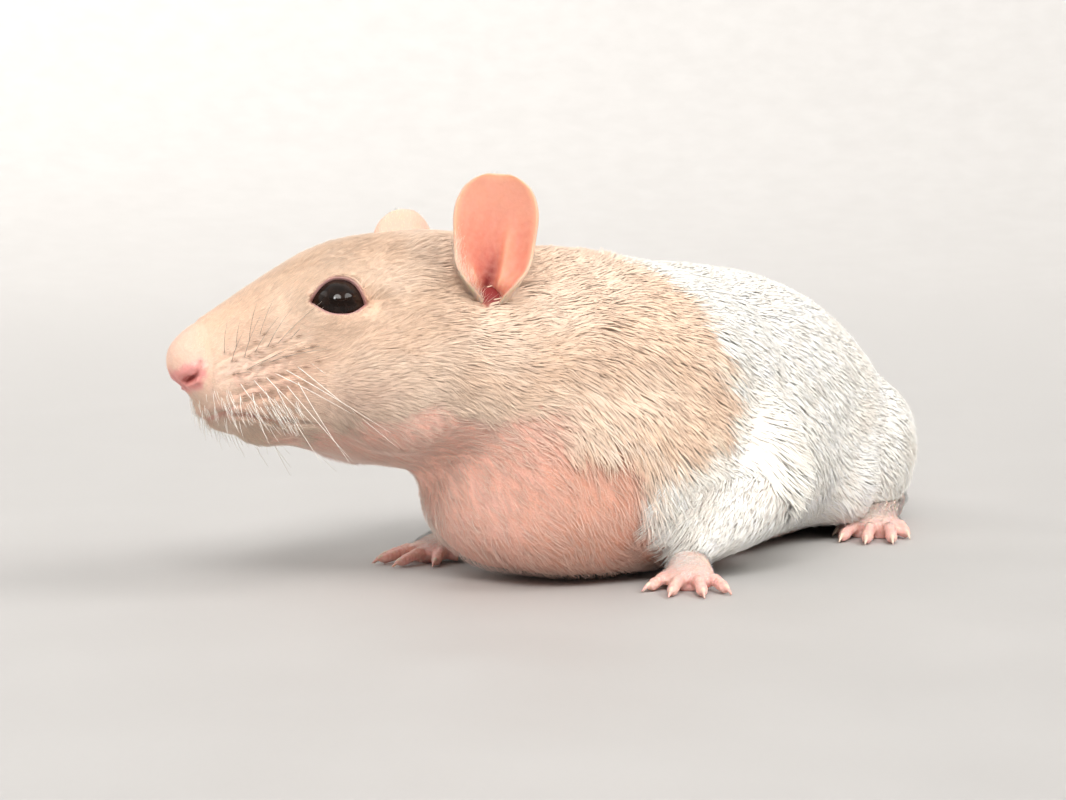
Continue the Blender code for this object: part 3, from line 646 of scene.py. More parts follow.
def canalShare(p):
    # 1 on the bare skin within the cup of each ear.
    share = np.zeros(len(p))
    for side in (1, -1):
        axes = earAxes(side)
        root = earRoot(side) + axes[1] * 1.5
        apart = segmentDistance(p, root - axes[1] * 1.4 + axes[2] * 0.9, root + axes[2] * 3.4)[0]
        share = np.maximum(share, ease(1.9, 1.4, apart))
    return share


def belowShare(p, n):
    # 1 on the thinly haired breast and belly.
    back, out, height = toHead(p)
    facing = ease(0.30, -0.25, n[:, 2] + 0.45 * n[:, 1] - 0.10)
    low = ease(24, 15, p[:, 2] + noise(p, 9, 6) * 2.0)
    rear = ease(-30, -60, p[:, 1])
    facing = mix(ease(0.1, -0.5, n[:, 2]), facing, rear)
    breast = facing * low * ease(5, -15, p[:, 1]) * ease(27, 38, back)
    breast = breast * ease(16.5, 13.0, np.abs(p[:, 0] - trunkMiddle))
    jowl = height + noise(p, 6, 7) * 1.3 - ease(12, 26, back) * 1.2
    throat = ease(23.2, 18.2, jowl) * ease(7, 14, back) * ease(54, 44, back) * ease(0.75, 0.1, n[:, 2])
    return np.maximum(breast, throat * 0.85)


def coatColour(p, n):
    # The markings of skin and coat at places on the body.
    back, out, height = toHead(p)
    hooded = hoodShare(p)
    fawn = mix(tones["fawn"], tones["fawnPale"], ease(-0.4, 0.6, noise(p, 14, 3))[:, None] * 0.55)
    crown = ease(12, 24, back) * ease(33, 41, height) * ease(60, 44, back)
    brow = bump(back - 17.0, 8.0) * ease(31, 36, height)
    deeper = 0.10 * crown + 0.30 * brow + 0.15 * ease(0.0, 0.9, noise(p, 7, 4))
    fawn = mix(fawn, tones["fawnDeep"], deeper[:, None])
    muzzle = ease(15, 6, back) * ease(34, 29, height)
    cheek = ease(27, 21, height) * ease(8, 16, back) * ease(46, 34, back)
    fawn = mix(fawn, tones["cream"], np.clip(0.25 * muzzle + 0.38 * cheek, 0, 1)[:, None])
    patch = bump(back - 20.0, 5.0) * bump(height - 23.0, 2.6)
    fawn = mix(fawn, tones["blush"], (patch * 0.35)[:, None])
    # The head and neck are darkened a little: painted shade where the lamps light them most.
    fawn = fawn * np.interp(back, [26.0, 36.0, 50.0, 62.0], [0.90, 0.88, 0.90, 1.0])[:, None]
    pads = bump(back - 10.5, 5.5) * bump(height - 26.0, 4.0) * ease(1.5, 3.5, np.abs(out))
    pads = pads * (0.45 + 0.45 * ease(-0.1, 0.5, noise(p, 1.6, 9)))
    fawn = mix(fawn, tones["blush"], pads[:, None])
    pale = mix(tones["white"], tones["cream"], ease(-0.2, 0.8, noise(p, 20, 5))[:, None] * 0.35)
    colour = mix(pale, fawn, hooded[:, None])
    low = belowShare(p, n)
    # The throat's coat is lighter than the belly's: partly its own pinker tone, partly painted light under
    # the jaw.
    thin = mix(tones["belly"], tones["throat"], ease(50, 36, back)[:, None])
    colour = mix(colour, thin, (ease(0.45, 0.95, low) * 0.9)[:, None])
    snout = ease(5.6, 2.0, back)
    return mix(colour, mix(tones["fawnPale"], tones["nose"], 0.30), (snout * 0.7)[:, None])


def skinColour(p, n):
    # The skin under the coat: pink where it is bare or thinly haired.
    back, out, height = toHead(p)
    colour = mix(coatColour(p, n), tones["pink"], 0.10)
    # The throat's skin is lighter than the belly's: partly its own pinker tone, partly painted light under
    # the jaw.
    thin = mix(tones["bellySkin"], tones["throatSkin"], ease(50, 36, back)[:, None])
    colour = mix(colour, thin, (ease(0.2, 0.9, belowShare(p, n)) * 0.95)[:, None])
    colour = mix(colour, tones["nose"], bareShare(p)[:, None])
    lips = bump(height - lipHeight(back), 0.7) * ease(18, 9, back) * ease(3.5, 5.5, back)
    colour = mix(colour, mix(tones["nose"], tones["cream"], 0.3), (lips * 0.7)[:, None])
    # The ear canals are painted dark red: painted shade of their openings.
    return mix(colour, tones["canal"], canalShare(p)[:, None])


# Back and height of the mouth's ends, and how far it sags between them.
mouth = {"front": (5.2, 23.0), "rear": (21.0, 20.6), "sag": 0.5}


def lipHeight(back):
    (front, frontHeight), (rear, rearHeight) = mouth["front"], mouth["rear"]
    slope = (rearHeight - frontHeight) / (rear - front)
    sag = mouth["sag"] * np.sin(np.clip((back - front) / (rear - front), 0, 1) * math.pi)
    return frontHeight + (back - front) * slope - sag


# Skin.
fleshNodes = [
    "head", "jaw", "neck", "chest", "belly", "rump", "foreleg_left", "foreleg_right", "thigh_left",
    "thigh_right",
]
forelegs = [fleshNodes.index("foreleg_left"), fleshNodes.index("foreleg_right")]
skinSettings = {
    "voxel": 0.62, "grow": 0.28, "bodyDepth": 0.80, "legDepth": 0.6,
    "trunk": 36.0, "kept": 0.43,  # where the trunk starts, and the share of its faces that stays
}


def nearestKinds(p, kd, kinds):
    # Number of the flesh node that is nearest to each place.
    return np.array([kinds[kd.find(Vector(q))[1]] for q in p])


def buildSkin():
    parts = [nodeCopy(name, skinSettings["grow"]) for name in fleshNodes]
    kinds = []
    cadPoints = []
    for number, part in enumerate(parts):
        here = readPoints(part.data)
        cadPoints.append(here)
        kinds += [number] * len(here)
    cadPoints = np.vstack(cadPoints)
    kd = KDTree(len(cadPoints))
    for i, q in enumerate(cadPoints):
        kd.insert(Vector(q), i)
    kd.balance()
    for side in (1, -1):
        parts.append(blob("socket", eyeAt[side], (4.3, 4.3, 4.3)))
        seat = earRoot(side) - headLeft * side * 1.2 + headUp * 0.1
        parts.append(blob("ear_seat", seat, (4.2, 3.4, 4.0)))
        wrist = {1: (16.8, -8.4, 3.2), -1: (-21.0, -3.0, 3.2)}[side]
        parts.append(blob("wrist", np.array(wrist) + step, (3.0, 3.6, 2.9)))
        parts.append(blob("heel", np.array((18.3 * side, 60.0, 3.6)) + step, (4.0, 8.0, 3.4)))
    for out in (2.1, -2.1):
        parts.append(blob("nostril", onHead(2.6, out, 28.2), (1.3, 1.3, 1.3)))
    parts.append(blob("tail_root", np.array((0.0, 74.5, 9.2)) + step, (5.6, 9.5, 5.6)))
    body = joinObjects(parts)
    body.name = "skin"
    remesh(body, skinSettings["voxel"])
    # Only the largest surface is kept.
    bm = openMesh(body.data)
    bm.verts.ensure_lookup_table()
    left = set(range(len(bm.verts)))
    best = []
    while left:
        start = left.pop()
        island, queue = [start], [start]
        while queue:
            v = bm.verts[queue.pop()]
            for e in v.link_edges:
                w = e.other_vert(v).index
                if w in left:
                    left.discard(w)
                    island.append(w)
                    queue.append(w)
        if len(island) > len(best):
            best = island
    keep = set(best)
    bmesh.ops.delete(bm, geom=[v for v in bm.verts if v.index not in keep], context="VERTS")
    smoothVerts(bm, bm.verts, 3)
    closeMesh(bm, body.data)
    return body, kd, np.array(kinds)


def coatDepth(p, kinds):
    # How deep the skin lies under the tips of the coat.
    depths = [0.05, 0.18, 0.30, 0.48, 0.62, 0.72, skinSettings["bodyDepth"]]
    depth = np.interp(toHead(p)[0], [3.0, 6.0, 12.0, 22.0, 34.0, 46.0, 60.0], depths)
    for side in (1, -1):
        apart = np.linalg.norm(p - eyeAt[side], axis=1)
        depth = depth * mix(0.12, 1.0, ease(4.6, 8.5, apart))
    onLeg = mix(skinSettings["legDepth"], depth, ease(8, 20, p[:, 2]))
    return np.where(np.isin(kinds, forelegs), onLeg, depth)


skin, nearTree, nearKinds = buildSkin()
skinPoints = readPoints(skin.data)
skinKinds = nearestKinds(skinPoints, nearTree, nearKinds)
depthHere = coatDepth(skinPoints, skinKinds) + skinSettings["grow"]
for _ in range(5):
    writePoints(skin.data, readPoints(skin.data) - readNormals(skin.data) * (depthHere / 5)[:, None])
    soften(skin, 1, 0.35)
# The trunk, which the coat hides, needs fewer faces than the head.
trunk = skin.vertex_groups.new(name="trunk")
onTrunk = np.nonzero(toHead(readPoints(skin.data))[0] > skinSettings["trunk"])[0]
trunk.add([int(i) for i in onTrunk], 1.0, "REPLACE")
fewer = skin.modifiers.new("fewer", "DECIMATE")
fewer.ratio = skinSettings["kept"]
fewer.vertex_group = "trunk"
select(skin)
bpy.ops.object.modifier_apply(modifier="fewer")
skin.vertex_groups.clear()
print("skin", len(skin.data.vertices))


def refine(obj, chosen):
    # Splits the edges of the faces whose middles pass the test.
    bm = openMesh(obj.data)
    middles = np.array([f.calc_center_median() for f in bm.faces])
    picked = chosen(middles)
    bm.faces.ensure_lookup_table()
    edges = set()
    for i in np.nonzero(picked)[0]:
        edges.update(bm.faces[i].edges)
    bmesh.ops.subdivide_edges(bm, edges=list(edges), cuts=1, use_grid_fill=True, smooth=0.0)
    closeMesh(bm, obj.data)


def onFace(p):
    return toHead(p)[0] < 30


def fromEyes(p):
    # Distance from the middle of the nearer eye.
    return np.minimum(*[np.linalg.norm(p - eyeAt[s], axis=1) for s in (1, -1)])


def nearFeatures(p):
    back, out, height = toHead(p)
    eyes = fromEyes(p) < 7.2
    snout = back < 7.5
    lips = (np.abs(height - lipHeight(back)) < 1.5) & (back < 22)
    return eyes | snout | lips


refine(skin, onFace)
soften(skin, 1, 0.4)
refine(skin, nearFeatures)


def aroundEyes(p):
    return fromEyes(p) < 7.6


def alongJaw(p):
    back, out, height = toHead(p)
    return (np.abs(height - lipHeight(back)) < 3.2) & (back < 31) & (back > 6)


soften(skin, 14, chosen=alongJaw)
soften(skin, 45, chosen=aroundEyes)


def shapeNose(p, n):
    back, out, height = toHead(p)
    side = np.abs(out)
    flat = np.stack([back, height], axis=1)
    # A wing lies before each nostril and a rim curls round beneath and behind it.
    apart, reach, outward = alongNostril(p)
    hole = bump(apart, mix(0.36, 0.16, reach)) * mix(1.15, 0.22, ease(0, 0.75, reach)) * outward
    wing = bump(segmentDistance(flat, (1.7, 28.1), (2.6, 28.6))[0], 0.55) * 0.22 * outward
    rim = bump(segmentDistance(flat, (2.1, 26.45), (3.2, 26.9))[0], 0.34) * 0.20 * outward
    rim += bump(segmentDistance(flat, (3.2, 26.9), (3.85, 28.4))[0], 0.34) * 0.18 * outward
    middle = bump(out, 0.22) * ease(23.0, 24.2, height) * ease(29.2, 27.6, height)
    middle = middle * ease(5.6, 4.6, back) * 0.34
    pad = bump(back - 4.1, 0.42) * ease(24.6, 27.0, height) * 0.12
    return p + n * (wing + rim - hole - middle - pad)[:, None]


def shapeMouth(p, n):
    back, out, height = toHead(p)
    line = height - lipHeight(back)
    reach = ease(19.0, 8.0, back)
    groove = bump(line, 0.20) * 0.62 * reach
    lips = (bump(line - 0.62, 0.42) * 0.20 + bump(line + 0.62, 0.42) * 0.16) * reach
    # Shallow furrows between the rows of whiskers.
    rows = np.zeros(len(p))
    wander = noise(p, 5, 41) * 0.35
    for number in range(5):
        rows += bump(height + wander - rowHeight(number + 0.5, back), 0.30)
    rows *= ease(-1.0, 0.2, noise(p, 3.5, 42))
    pad = ease(4.5, 6.5, back) * ease(15.0, 12.0, back) * ease(2.4, 3.8, np.abs(out))
    puff = bump(back - 10.0, 5.0) * bump(height - 27.0, 3.6) * ease(2.0, 4.0, np.abs(out)) * 0.5
    return p + n * (lips - groove + puff - rows * pad * 0.32)[:, None]


def rowHeight(row, back):
    # Height of a row of whiskers on the pad, from the highest.
    return 31.2 - row * 1.6 + (back - 9.0) * mix(0.42, 0.20, np.asarray(row) / 4.0)


def shapeLids(p, side):
    rel = p - eyeAt[side]
    axes = eyeAxes(side)
    along, gaze, up = rel @ axes[0], rel @ axes[1], rel @ axes[2]
    length = np.linalg.norm(rel, axis=1)
    near = np.nonzero((length < 8.0) & (gaze > 0.2))[0]
    a, g, u = along[near], gaze[near], up[near]
    gap = almondDistance(a, u)
    across = np.hypot(a, u)
    # Radius that the lid keeps from the middle of the eye at each distance from its edge.
    lid = np.interp(gap, [-0.6, -0.22, 0.0, 0.14, 0.35, 0.8, 1.5], [2.9, 3.12, 3.50, 3.74, 3.84, 3.88, 3.9])
    lidGaze = np.sqrt(np.maximum(lid**2 - across**2, 0.0))
    share = ease(0.55, 0.25, gap)
    target = mix(g, lidGaze, share)
    moved = rel[near] + (target - g)[:, None] * axes[1]
    result = p.copy()
    result[near] = eyeAt[side] + moved
    rimShare = np.zeros(len(p))
    rimShare[near] = bump(gap - 0.08, 0.26)
    inner = np.zeros(len(p))
    inner[near] = ease(0.05, -0.15, gap)
    between = np.zeros(len(p), bool)
    between[near] = (gap > 0.40) & (gap < 3.4)
    return result, np.maximum(rimShare, inner), between


def stretch(p, mesh, moving, turns):
    # Draws the moving places taut between the others.
    edges = np.empty(len(mesh.edges) * 2, np.int32)
    mesh.edges.foreach_get("vertices", edges)
    edges = edges.reshape(-1, 2)
    edges = edges[moving[edges].any(axis=1)]
    p = p.copy()
    counts = np.bincount(edges.ravel(), minlength=len(p))[moving][:, None]
    for _ in range(turns):
        total = np.empty_like(p)
        for k in range(3):
            total[:, k] = np.bincount(edges[:, 0], p[edges[:, 1], k], len(p)) + np.bincount(
                edges[:, 1], p[edges[:, 0], k], len(p)
            )
        p[moving] = mix(p[moving], total[moving] / counts, 0.7)
    return p


def eyeFold(p, n, side):
    # The short fold behind the rear corner of the lids.
    rel = p - eyeAt[side]
    axes = eyeAxes(side)
    flat = np.stack([rel @ axes[0], rel @ axes[2]], axis=1)
    close = (np.linalg.norm(rel, axis=1) < 8.0) & (rel @ axes[1] > 0.2)
    apart = segmentDistance(flat, (-3.9, -0.3), (-5.8, 0.1))[0]
    return p - n * (bump(apart, 0.26) * 0.16 * close)[:, None]


points = readPoints(skin.data)
points = shapeNose(points, readNormals(skin.data))
writePoints(skin.data, points)
points = shapeMouth(points, readNormals(skin.data))
points, rimLeft, betweenLeft = shapeLids(points, 1)
points, rimRight, betweenRight = shapeLids(points, -1)
points = stretch(points, skin.data, betweenLeft | betweenRight, 260)
writePoints(skin.data, points)
for side in (1, -1):
    points = eyeFold(points, readNormals(skin.data), side)
writePoints(skin.data, points)
lidRim = np.maximum(rimLeft, rimRight)
normals = readNormals(skin.data)
print("face", len(points))


def follicles():
    # Row, number, distance back and height of the whiskers on a pad.
    spots = []
    for row, count in enumerate((4, 6, 7, 7, 6)):
        for number in range(count):
            back = 6.2 + number * 1.45 + row * 0.25 + (0.35 if row % 2 else 0)
            spots.append((row, number, back, rowHeight(row, back)))
    return spots


def surfaceAt(back, side, height):
    # The place on the skin at a height and distance back, on one side of the head.
    b, o, h = toHead(points)
    pick = np.nonzero((o * side > 0) & (np.abs(b - back) < 0.8) & (np.abs(h - height) < 0.8))[0]
    if not len(pick):
        return None
    score = (b[pick] - back) ** 2 + (h[pick] - height) ** 2 - 0.02 * np.abs(o[pick])
    best = pick[np.argmin(score)]
    return points[best], normals[best]


whiskerRoots = []
for side in (1, -1):
    for row, number, back, height in follicles():
        found = surfaceAt(back, side, height)
        if found is not None:
            whiskerRoots.append((side, row, number, *found))
rootPlaces = np.array([root[3] for root in whiskerRoots])
dots = np.zeros(len(points))
closeBy = np.nonzero(toHead(points)[0] < 17)[0]
for place in rootPlaces:
    dots[closeBy] = np.maximum(dots[closeBy], bump(np.linalg.norm(points[closeBy] - place, axis=1), 0.20))

colour = skinColour(points, normals)
colour = mix(colour, tones["lid"], (lidRim * 0.85)[:, None])
colour = mix(colour, tones["follicle"], (dots * 0.8)[:, None])
# The nostrils' openings are painted dark: painted shade.
colour = mix(colour, tones["nostril"], (nostrilShare(points) * 0.85)[:, None])
setColours(skin.data, "coat", colour)
setValues(skin.data, "bare", np.clip(bareShare(points) + lidRim, 0, 1))

skinFinish = Finish("skin", roughness=0.55, Specular_IOR_Level=0.35)
skinFinish.flesh(0.12, (0.0016, 0.0007, 0.0004))
bare = skinFinish.attribute("bare", "Fac")
mottle = skinFinish.noise(420.0, 4.0)
pores = skinFinish.cells(3200.0)
skinFinish.colour(
    skinFinish.blend(
        skinFinish.span(mottle, 0.35, 0.65, 0.0, 0.30), skinFinish.attribute("coat"), (0.55, 0.30, 0.20, 1),
        "SOFT_LIGHT",
    )
)
skinFinish.rough(skinFinish.span(bare, 0.0, 1.0, 0.62, 0.34) + (mottle - 0.5) * 0.12)
skinFinish.normal(skinFinish.relief(skinFinish.noise(1500.0, 3.0) * 0.6 + pores * 0.5, 0.00012, 0.6))
finishPiece(skin, skinFinish.material, fleshNodes)
print("skin finished")

# Eyes.
eyeFinish = Finish("eye", roughness=0.03, IOR=1.30)
depths = eyeFinish.noise(900.0, 3.0)
eyeFinish.colour(
    eyeFinish.blend(eyeFinish.span(depths, 0.35, 0.7), (0.006, 0.003, 0.002, 1), (0.018, 0.008, 0.005, 1))
)
eyeFinish.rough(eyeFinish.span(depths, 0.3, 0.7, 0.03, 0.06))


def buildEye(side, name):
    bm = bmesh.new()
    bmesh.ops.create_uvsphere(bm, u_segments=72, v_segments=48, radius=1.0)
    axes = eyeAxes(side)
    for v in bm.verts:
        local = np.array(v.co)
        # The clear front of the ball stands out a little past the sphere.
        front = max(local[2], 0.0)
        radius = eyeShape["radius"] * (0.975 + 0.045 * float(ease(0.72, 1.0, front)))
        out = axes[0] * local[0] + axes[2] * local[1] * side + axes[1] * local[2]
        v.co = Vector(eyeAt[side] + out * radius)
    bmesh.ops.recalc_face_normals(bm, faces=bm.faces)
    mesh = bpy.data.meshes.new(name)
    closeMesh(bm, mesh)
    obj = addObject(name, mesh)
    return finishPiece(obj, eyeFinish.material, [name.replace("ball_", "eye_")])


buildEye(1, "ball_left")
buildEye(-1, "ball_right")


# Ears.
def buildEar(side, name):
    rows, columns = ear["places"]
    table = curveThrough(np.array([(r * 100, w, math.radians(a) * 10) for r, w, a in ear["rows"]]), rows)
    rise, halfWidth, halfAngle = table[:, 0] / 100, table[:, 1], table[:, 2] / 10
    axes = earAxes(side)
    row, column = np.meshgrid(np.arange(rows), np.arange(columns), indexing="ij")
    up, over = rise[row], np.linspace(-1, 1, columns)[column]
    radius = (halfWidth / np.sin(np.minimum(halfAngle, math.pi / 2)))[row]
    frontward = over * (1 if axes[0] @ headAhead > 0 else -1)
    # The rim waves a little and rolls inward near the front of the root.
    angle = over * halfAngle[row] * (1 + 0.015 * np.sin(up * 19 + side))
    thick = (ear["thickRoot"] - ear["thickRim"]) * (1 - np.clip(up, 0, 1)) ** 1.5 * (1 - 0.6 * over**2)
    thick += ear["thickRim"]
    thick *= mix(0.55, 1.0, ease(1.0, 0.86, np.abs(over))) * mix(0.6, 1.0, ease(1.0, 0.95, up))
    centre = earRoot(side) + axes[2] * (ear["height"][side] * up)[..., None]
    sunk = ear["sunk"] * ease(0.24, -0.02, up)
    bow = ear["bow"] * np.sin(math.pi * np.clip(up, 0, 1))
    centre = centre + axes[1] * (radius - sunk - bow)[..., None]
    spoke = axes[0] * np.sin(angle)[..., None] - axes[1] * np.cos(angle)[..., None]
    # Folds of the cup: a rounded ridge behind the canal, one before it, a lobe and a shallow dish above.
    ridge = bump(frontward - mix(-0.20, -0.40, up), 0.15) * ease(0.06, 0.20, up)
    ridge = ridge * ease(0.74, 0.42, up) * 0.85
    tragus = bump(frontward - 0.62, 0.20) * bump(up - 0.24, 0.10) * 0.85
    lobe = bump(frontward + 0.52, 0.24) * bump(up - 0.17, 0.11) * 0.8
    dish = bump(frontward, 0.45) * bump(up - 0.62, 0.16) * 0.35
    inner = radius - thick * 0.5 - (ridge + tragus + lobe) + dish * 0.5
    outer = radius + thick * 0.5 + dish * 0.35 - (ridge + tragus + lobe) * 0.25
    inner = np.minimum(inner, outer - 0.38 * mix(0.7, 1.0, ease(1.0, 0.8, np.abs(over))))
    front = centre + spoke * inner[..., None]
    rear = centre + spoke * outer[..., None]
    count = rows * columns
    everything = np.vstack([front.reshape(-1, 3), rear.reshape(-1, 3)])
    faces = []
    for i in range(rows - 1):
        for j in range(columns - 1):
            a = i * columns + j
            faces.append((a, a + 1, a + columns + 1, a + columns))
            faces.append((count + a, count + a + columns, count + a + columns + 1, count + a + 1))
    rim = [i * columns for i in range(rows)]
    rim += [(rows - 1) * columns + j for j in range(1, columns)]
    rim += [i * columns + columns - 1 for i in range(rows - 2, -1, -1)]
    rim += [j for j in range(columns - 2, 0, -1)]
    for a, b in zip(rim, rim[1:] + rim[:1]):
        faces.append((a, count + a, count + b, b))
    obj = newObject(name, everything, faces)
    bm = openMesh(obj.data)
    bmesh.ops.recalc_face_normals(bm, faces=bm.faces)
    closeMesh(bm, obj.data)
    # Painted shade darkens the cup and the canal's slit; painted light brightens the top, the rim and the
    # ridges of the folds.
    deep = bump(frontward - 0.14 + (up - 0.2) * 1.1, 0.15) * bump(up - 0.20, 0.17)
    cup = bump(frontward - 0.12, 0.42) * bump(up - 0.28, 0.20)
    edge = np.clip(ease(0.80, 1.0, np.abs(over)) + ease(0.93, 1.0, up), 0, 1)
    inside = mix(tones["ear"], tones["earTopLight"], (ease(0.45, 0.85, up) * 0.6)[..., None])
    inside = mix(inside, tones["earCupShade"], cup[..., None] * 0.75)
    inside = mix(inside, tones["earCanalShade"], deep[..., None])
    inside = mix(inside, tones["earRimHighlight"], (edge * 0.6)[..., None])
    inside = mix(inside, tones["earFoldHighlight"], (ridge + tragus * 0.5 + lobe * 0.5)[..., None] * 0.8)
    outside = np.broadcast_to(tones["earBack"], inside.shape)
    # Toward the root the outside takes the pale fawn of the fur, lightened as painted light where it lies in
    # shadow.
    outside = mix(outside, tones["fawnPale"], ease(0.50, 0.15, up)[..., None] * 0.8)
    setColours(obj.data, "coat", np.vstack([inside.reshape(-1, 3), outside.reshape(-1, 3)]))
    return obj


earFinish = Finish("ear_skin", roughness=0.48, Specular_IOR_Level=0.4)
earFinish.flesh(0.45, (0.0030, 0.0011, 0.0006))
veins = earFinish.noise(240.0, 2.0)
veins = earFinish.span((veins - 0.5).maths("ABSOLUTE"), 0.0, 0.035, 1.0, 0.0)
speckle = earFinish.noise(1300.0, 3.0)
earTone = earFinish.blend(veins * 0.07, earFinish.attribute("coat"), (0.55, 0.16, 0.12, 1))
earFinish.colour(
    earFinish.blend(earFinish.span(speckle, 0.35, 0.65, 0.0, 0.2), earTone, (0.90, 0.50, 0.38, 1))
)
earFinish.rough(earFinish.span(speckle, 0.3, 0.7, 0.42, 0.56))
earFinish.normal(earFinish.relief(earFinish.noise(2600.0, 4.0), 0.00008, 0.6))
earParts = {}
for side, name in ((1, "pinna_left"), (-1, "pinna_right")):
    earParts[side] = buildEar(side, name)
earData = {}
for side, obj in earParts.items():
    earData[side] = (readPoints(obj.data), readNormals(obj.data))
    finishPiece(obj, earFinish.material, ["ear_left" if side == 1 else "ear_right"])
print("ears")

# Feet.
foot = {
    # Cuff: its place ahead of the foot's start, its height and its radii.
    "foreCuff": (-1.2, 3.6, (2.5, 3.4, 2.5)), "foreVoxel": 0.22, "foreClaw": 1.15,
    "hindCuff": (1.5, 3.4, (3.0, 3.6, 2.8)), "hindVoxel": 0.29, "hindClaw": 1.5,
    # Toes: root ahead and outward, turn in degrees, length.
    "fore": {1: (16.8, -9.4), -1: (-21.0, -4.0)}, "foreTurn": 24.0, "foreRadius": 0.85,
    "foreToes": (
        (4.4, -2.3, -40.0, 4.4), (6.0, -1.0, -13.0, 5.9), (6.1, 0.9, 7.0, 6.0), (5.0, 2.4, 27.0, 4.8)
    ),
    "hind": {1: (18.5, 66.0), -1: (-18.5, 66.0)}, "hindTurn": 13.0, "hindRadius": 1.0,
    "hindToes": (
        (19.5, -3.2, -26.0, 4.4), (23.0, -2.4, -11.0, 7.0), (23.8, 0.0, 0.0, 7.8), (23.0, 2.4, 10.0, 7.0),
        (19.5, 3.2, 25.0, 4.8),
    ),
}


def footPlace(kind, side, forward, outward, height):
    start = np.array([*foot[kind][side], 0.0]) + step
    turn = math.radians(foot[kind + "Turn"])
    ahead = np.array([math.sin(turn) * side, -math.cos(turn), 0.0])
    out = np.array([math.cos(turn) * side, math.sin(turn), 0.0])
    return start + ahead * forward + out * outward + np.array([0, 0, height])


def toePlace(kind, side, root, out, angle, reach, height):
    # A place along a toe, reach from its root.
    turn = math.radians(angle)
    return footPlace(kind, side, root + reach * math.cos(turn), out + reach * math.sin(turn), height)


pawFinish = Finish("paw_skin", roughness=0.5, Specular_IOR_Level=0.35)
pawFinish.flesh(0.30, (0.0018, 0.0007, 0.0004))
pawNoise = pawFinish.noise(700.0, 4.0)
pawFinish.colour(
    pawFinish.blend(
        pawFinish.span(pawNoise, 0.35, 0.65, 0.0, 0.5), pawFinish.attribute("coat"), (0.90, 0.60, 0.50, 1)
    )
)
pawFinish.rough(pawFinish.span(pawNoise, 0.3, 0.7, 0.42, 0.6))
pawFinish.normal(pawFinish.relief(pawFinish.cells(2300.0) * 0.7 + pawFinish.noise(1500.0, 3.0), 0.00014, 0.7))

pawData = {}


def buildPaw(kind, side, name, node):
    ahead, height, radii = foot[kind + "Cuff"]
    cuff = blob("cuff", footPlace(kind, side, ahead, 0.0, height), radii)
    paw = joinObjects([nodeCopy(node, 0.02), cuff])
    paw.name = name
    remesh(paw, foot[kind + "Voxel"])
    soften(paw, 4, 0.5)
    p = readPoints(paw.data)
    n = readNormals(paw.data)
    radius = foot[kind + "Radius"]
    folds = np.zeros(len(p))
    knuckles = np.zeros(len(p))
    for root, out, angle, length in foot[kind + "Toes"]:
        base = footPlace(kind, side, root, out, radius)
        apart, along = segmentDistance(p, base, toePlace(kind, side, root, out, angle, length, radius * 0.9))
        near = ease(radius * 1.9, radius * 1.2, apart)
        fold = near * bump(np.mod(along * length, 0.62) - 0.31, 0.12)
        folds += fold * ease(0.06, 0.16, along) * ease(0.97, 0.88, along)
        knuckles += near * (bump(along - 0.42, 0.10) + bump(along - 0.80, 0.08))
    level = ease(0.25, 0.9, p[:, 2])
    p = p + n * ((knuckles * 0.10 - folds * 0.10) * level)[:, None]
    p[:, 2] = np.maximum(p[:, 2], floorGap)
    writePoints(paw.data, p)
    n = readNormals(paw.data)
    colour = mix(tones["paw"], tones["nose"], (ease(1.0, 0.2, p[:, 2]) * 0.6)[:, None])
    colour = mix(colour, mix(tones["cream"], tones["white"], 0.3), (ease(1.7, 3.8, p[:, 2]) * 0.6)[:, None])
    # Darker and redder in the creases between the toe segments: painted shade.
    colour = mix(colour, tones["paw"] * np.array([0.8, 0.62, 0.6]), np.clip(folds, 0, 1)[:, None] * 0.5)
    setColours(paw.data, "coat", colour)
    pawData[name] = (p, n)
    finishPiece(paw, pawFinish.material, [node])


for side, word in ((1, "left"), (-1, "right")):
    buildPaw("fore", side, "hand_" + word, "forepaw_" + word)
    buildPaw("hind", side, "foot_" + word, "hindfoot_" + word)

clawFinish = Finish("claw", roughness=0.32, Specular_IOR_Level=0.5)
clawFinish.colour(
    clawFinish.blend(clawFinish.noise(1500.0, 2.0), (0.72, 0.55, 0.42, 1), (0.86, 0.72, 0.60, 1))
)
clawFinish.normal(clawFinish.relief(clawFinish.noise(4000.0, 2.0), 0.00003, 0.5))
# Share of the claw's length and height in toe radii.
clawLine = ((-0.5, 1.10), (-0.1, 1.18), (0.3, 1.0), (0.7, 0.6), (1.0, 0.22))
clawGirth = np.interp(np.linspace(0, 1, 12), [0, 0.4, 0.8, 1.0], [0.33, 0.33, 0.17, 0.05])
clawParts = {"points": [], "faces": []}
for kind in ("fore", "hind"):
    for side in (1, -1):
        for root, out, angle, length in foot[kind + "Toes"]:
            rows = []
            for share, height in clawLine:
                reach = length + foot[kind + "Claw"] * share
                rows.append(toePlace(kind, side, root, out, angle, reach, height * foot[kind + "Radius"]))
            addTube(clawParts, curveThrough(rows, 12), clawGirth, 9)
claws = newObject("claws", np.vstack(clawParts["points"]), clawParts["faces"])
finishPiece(claws, clawFinish.material)
print("feet")

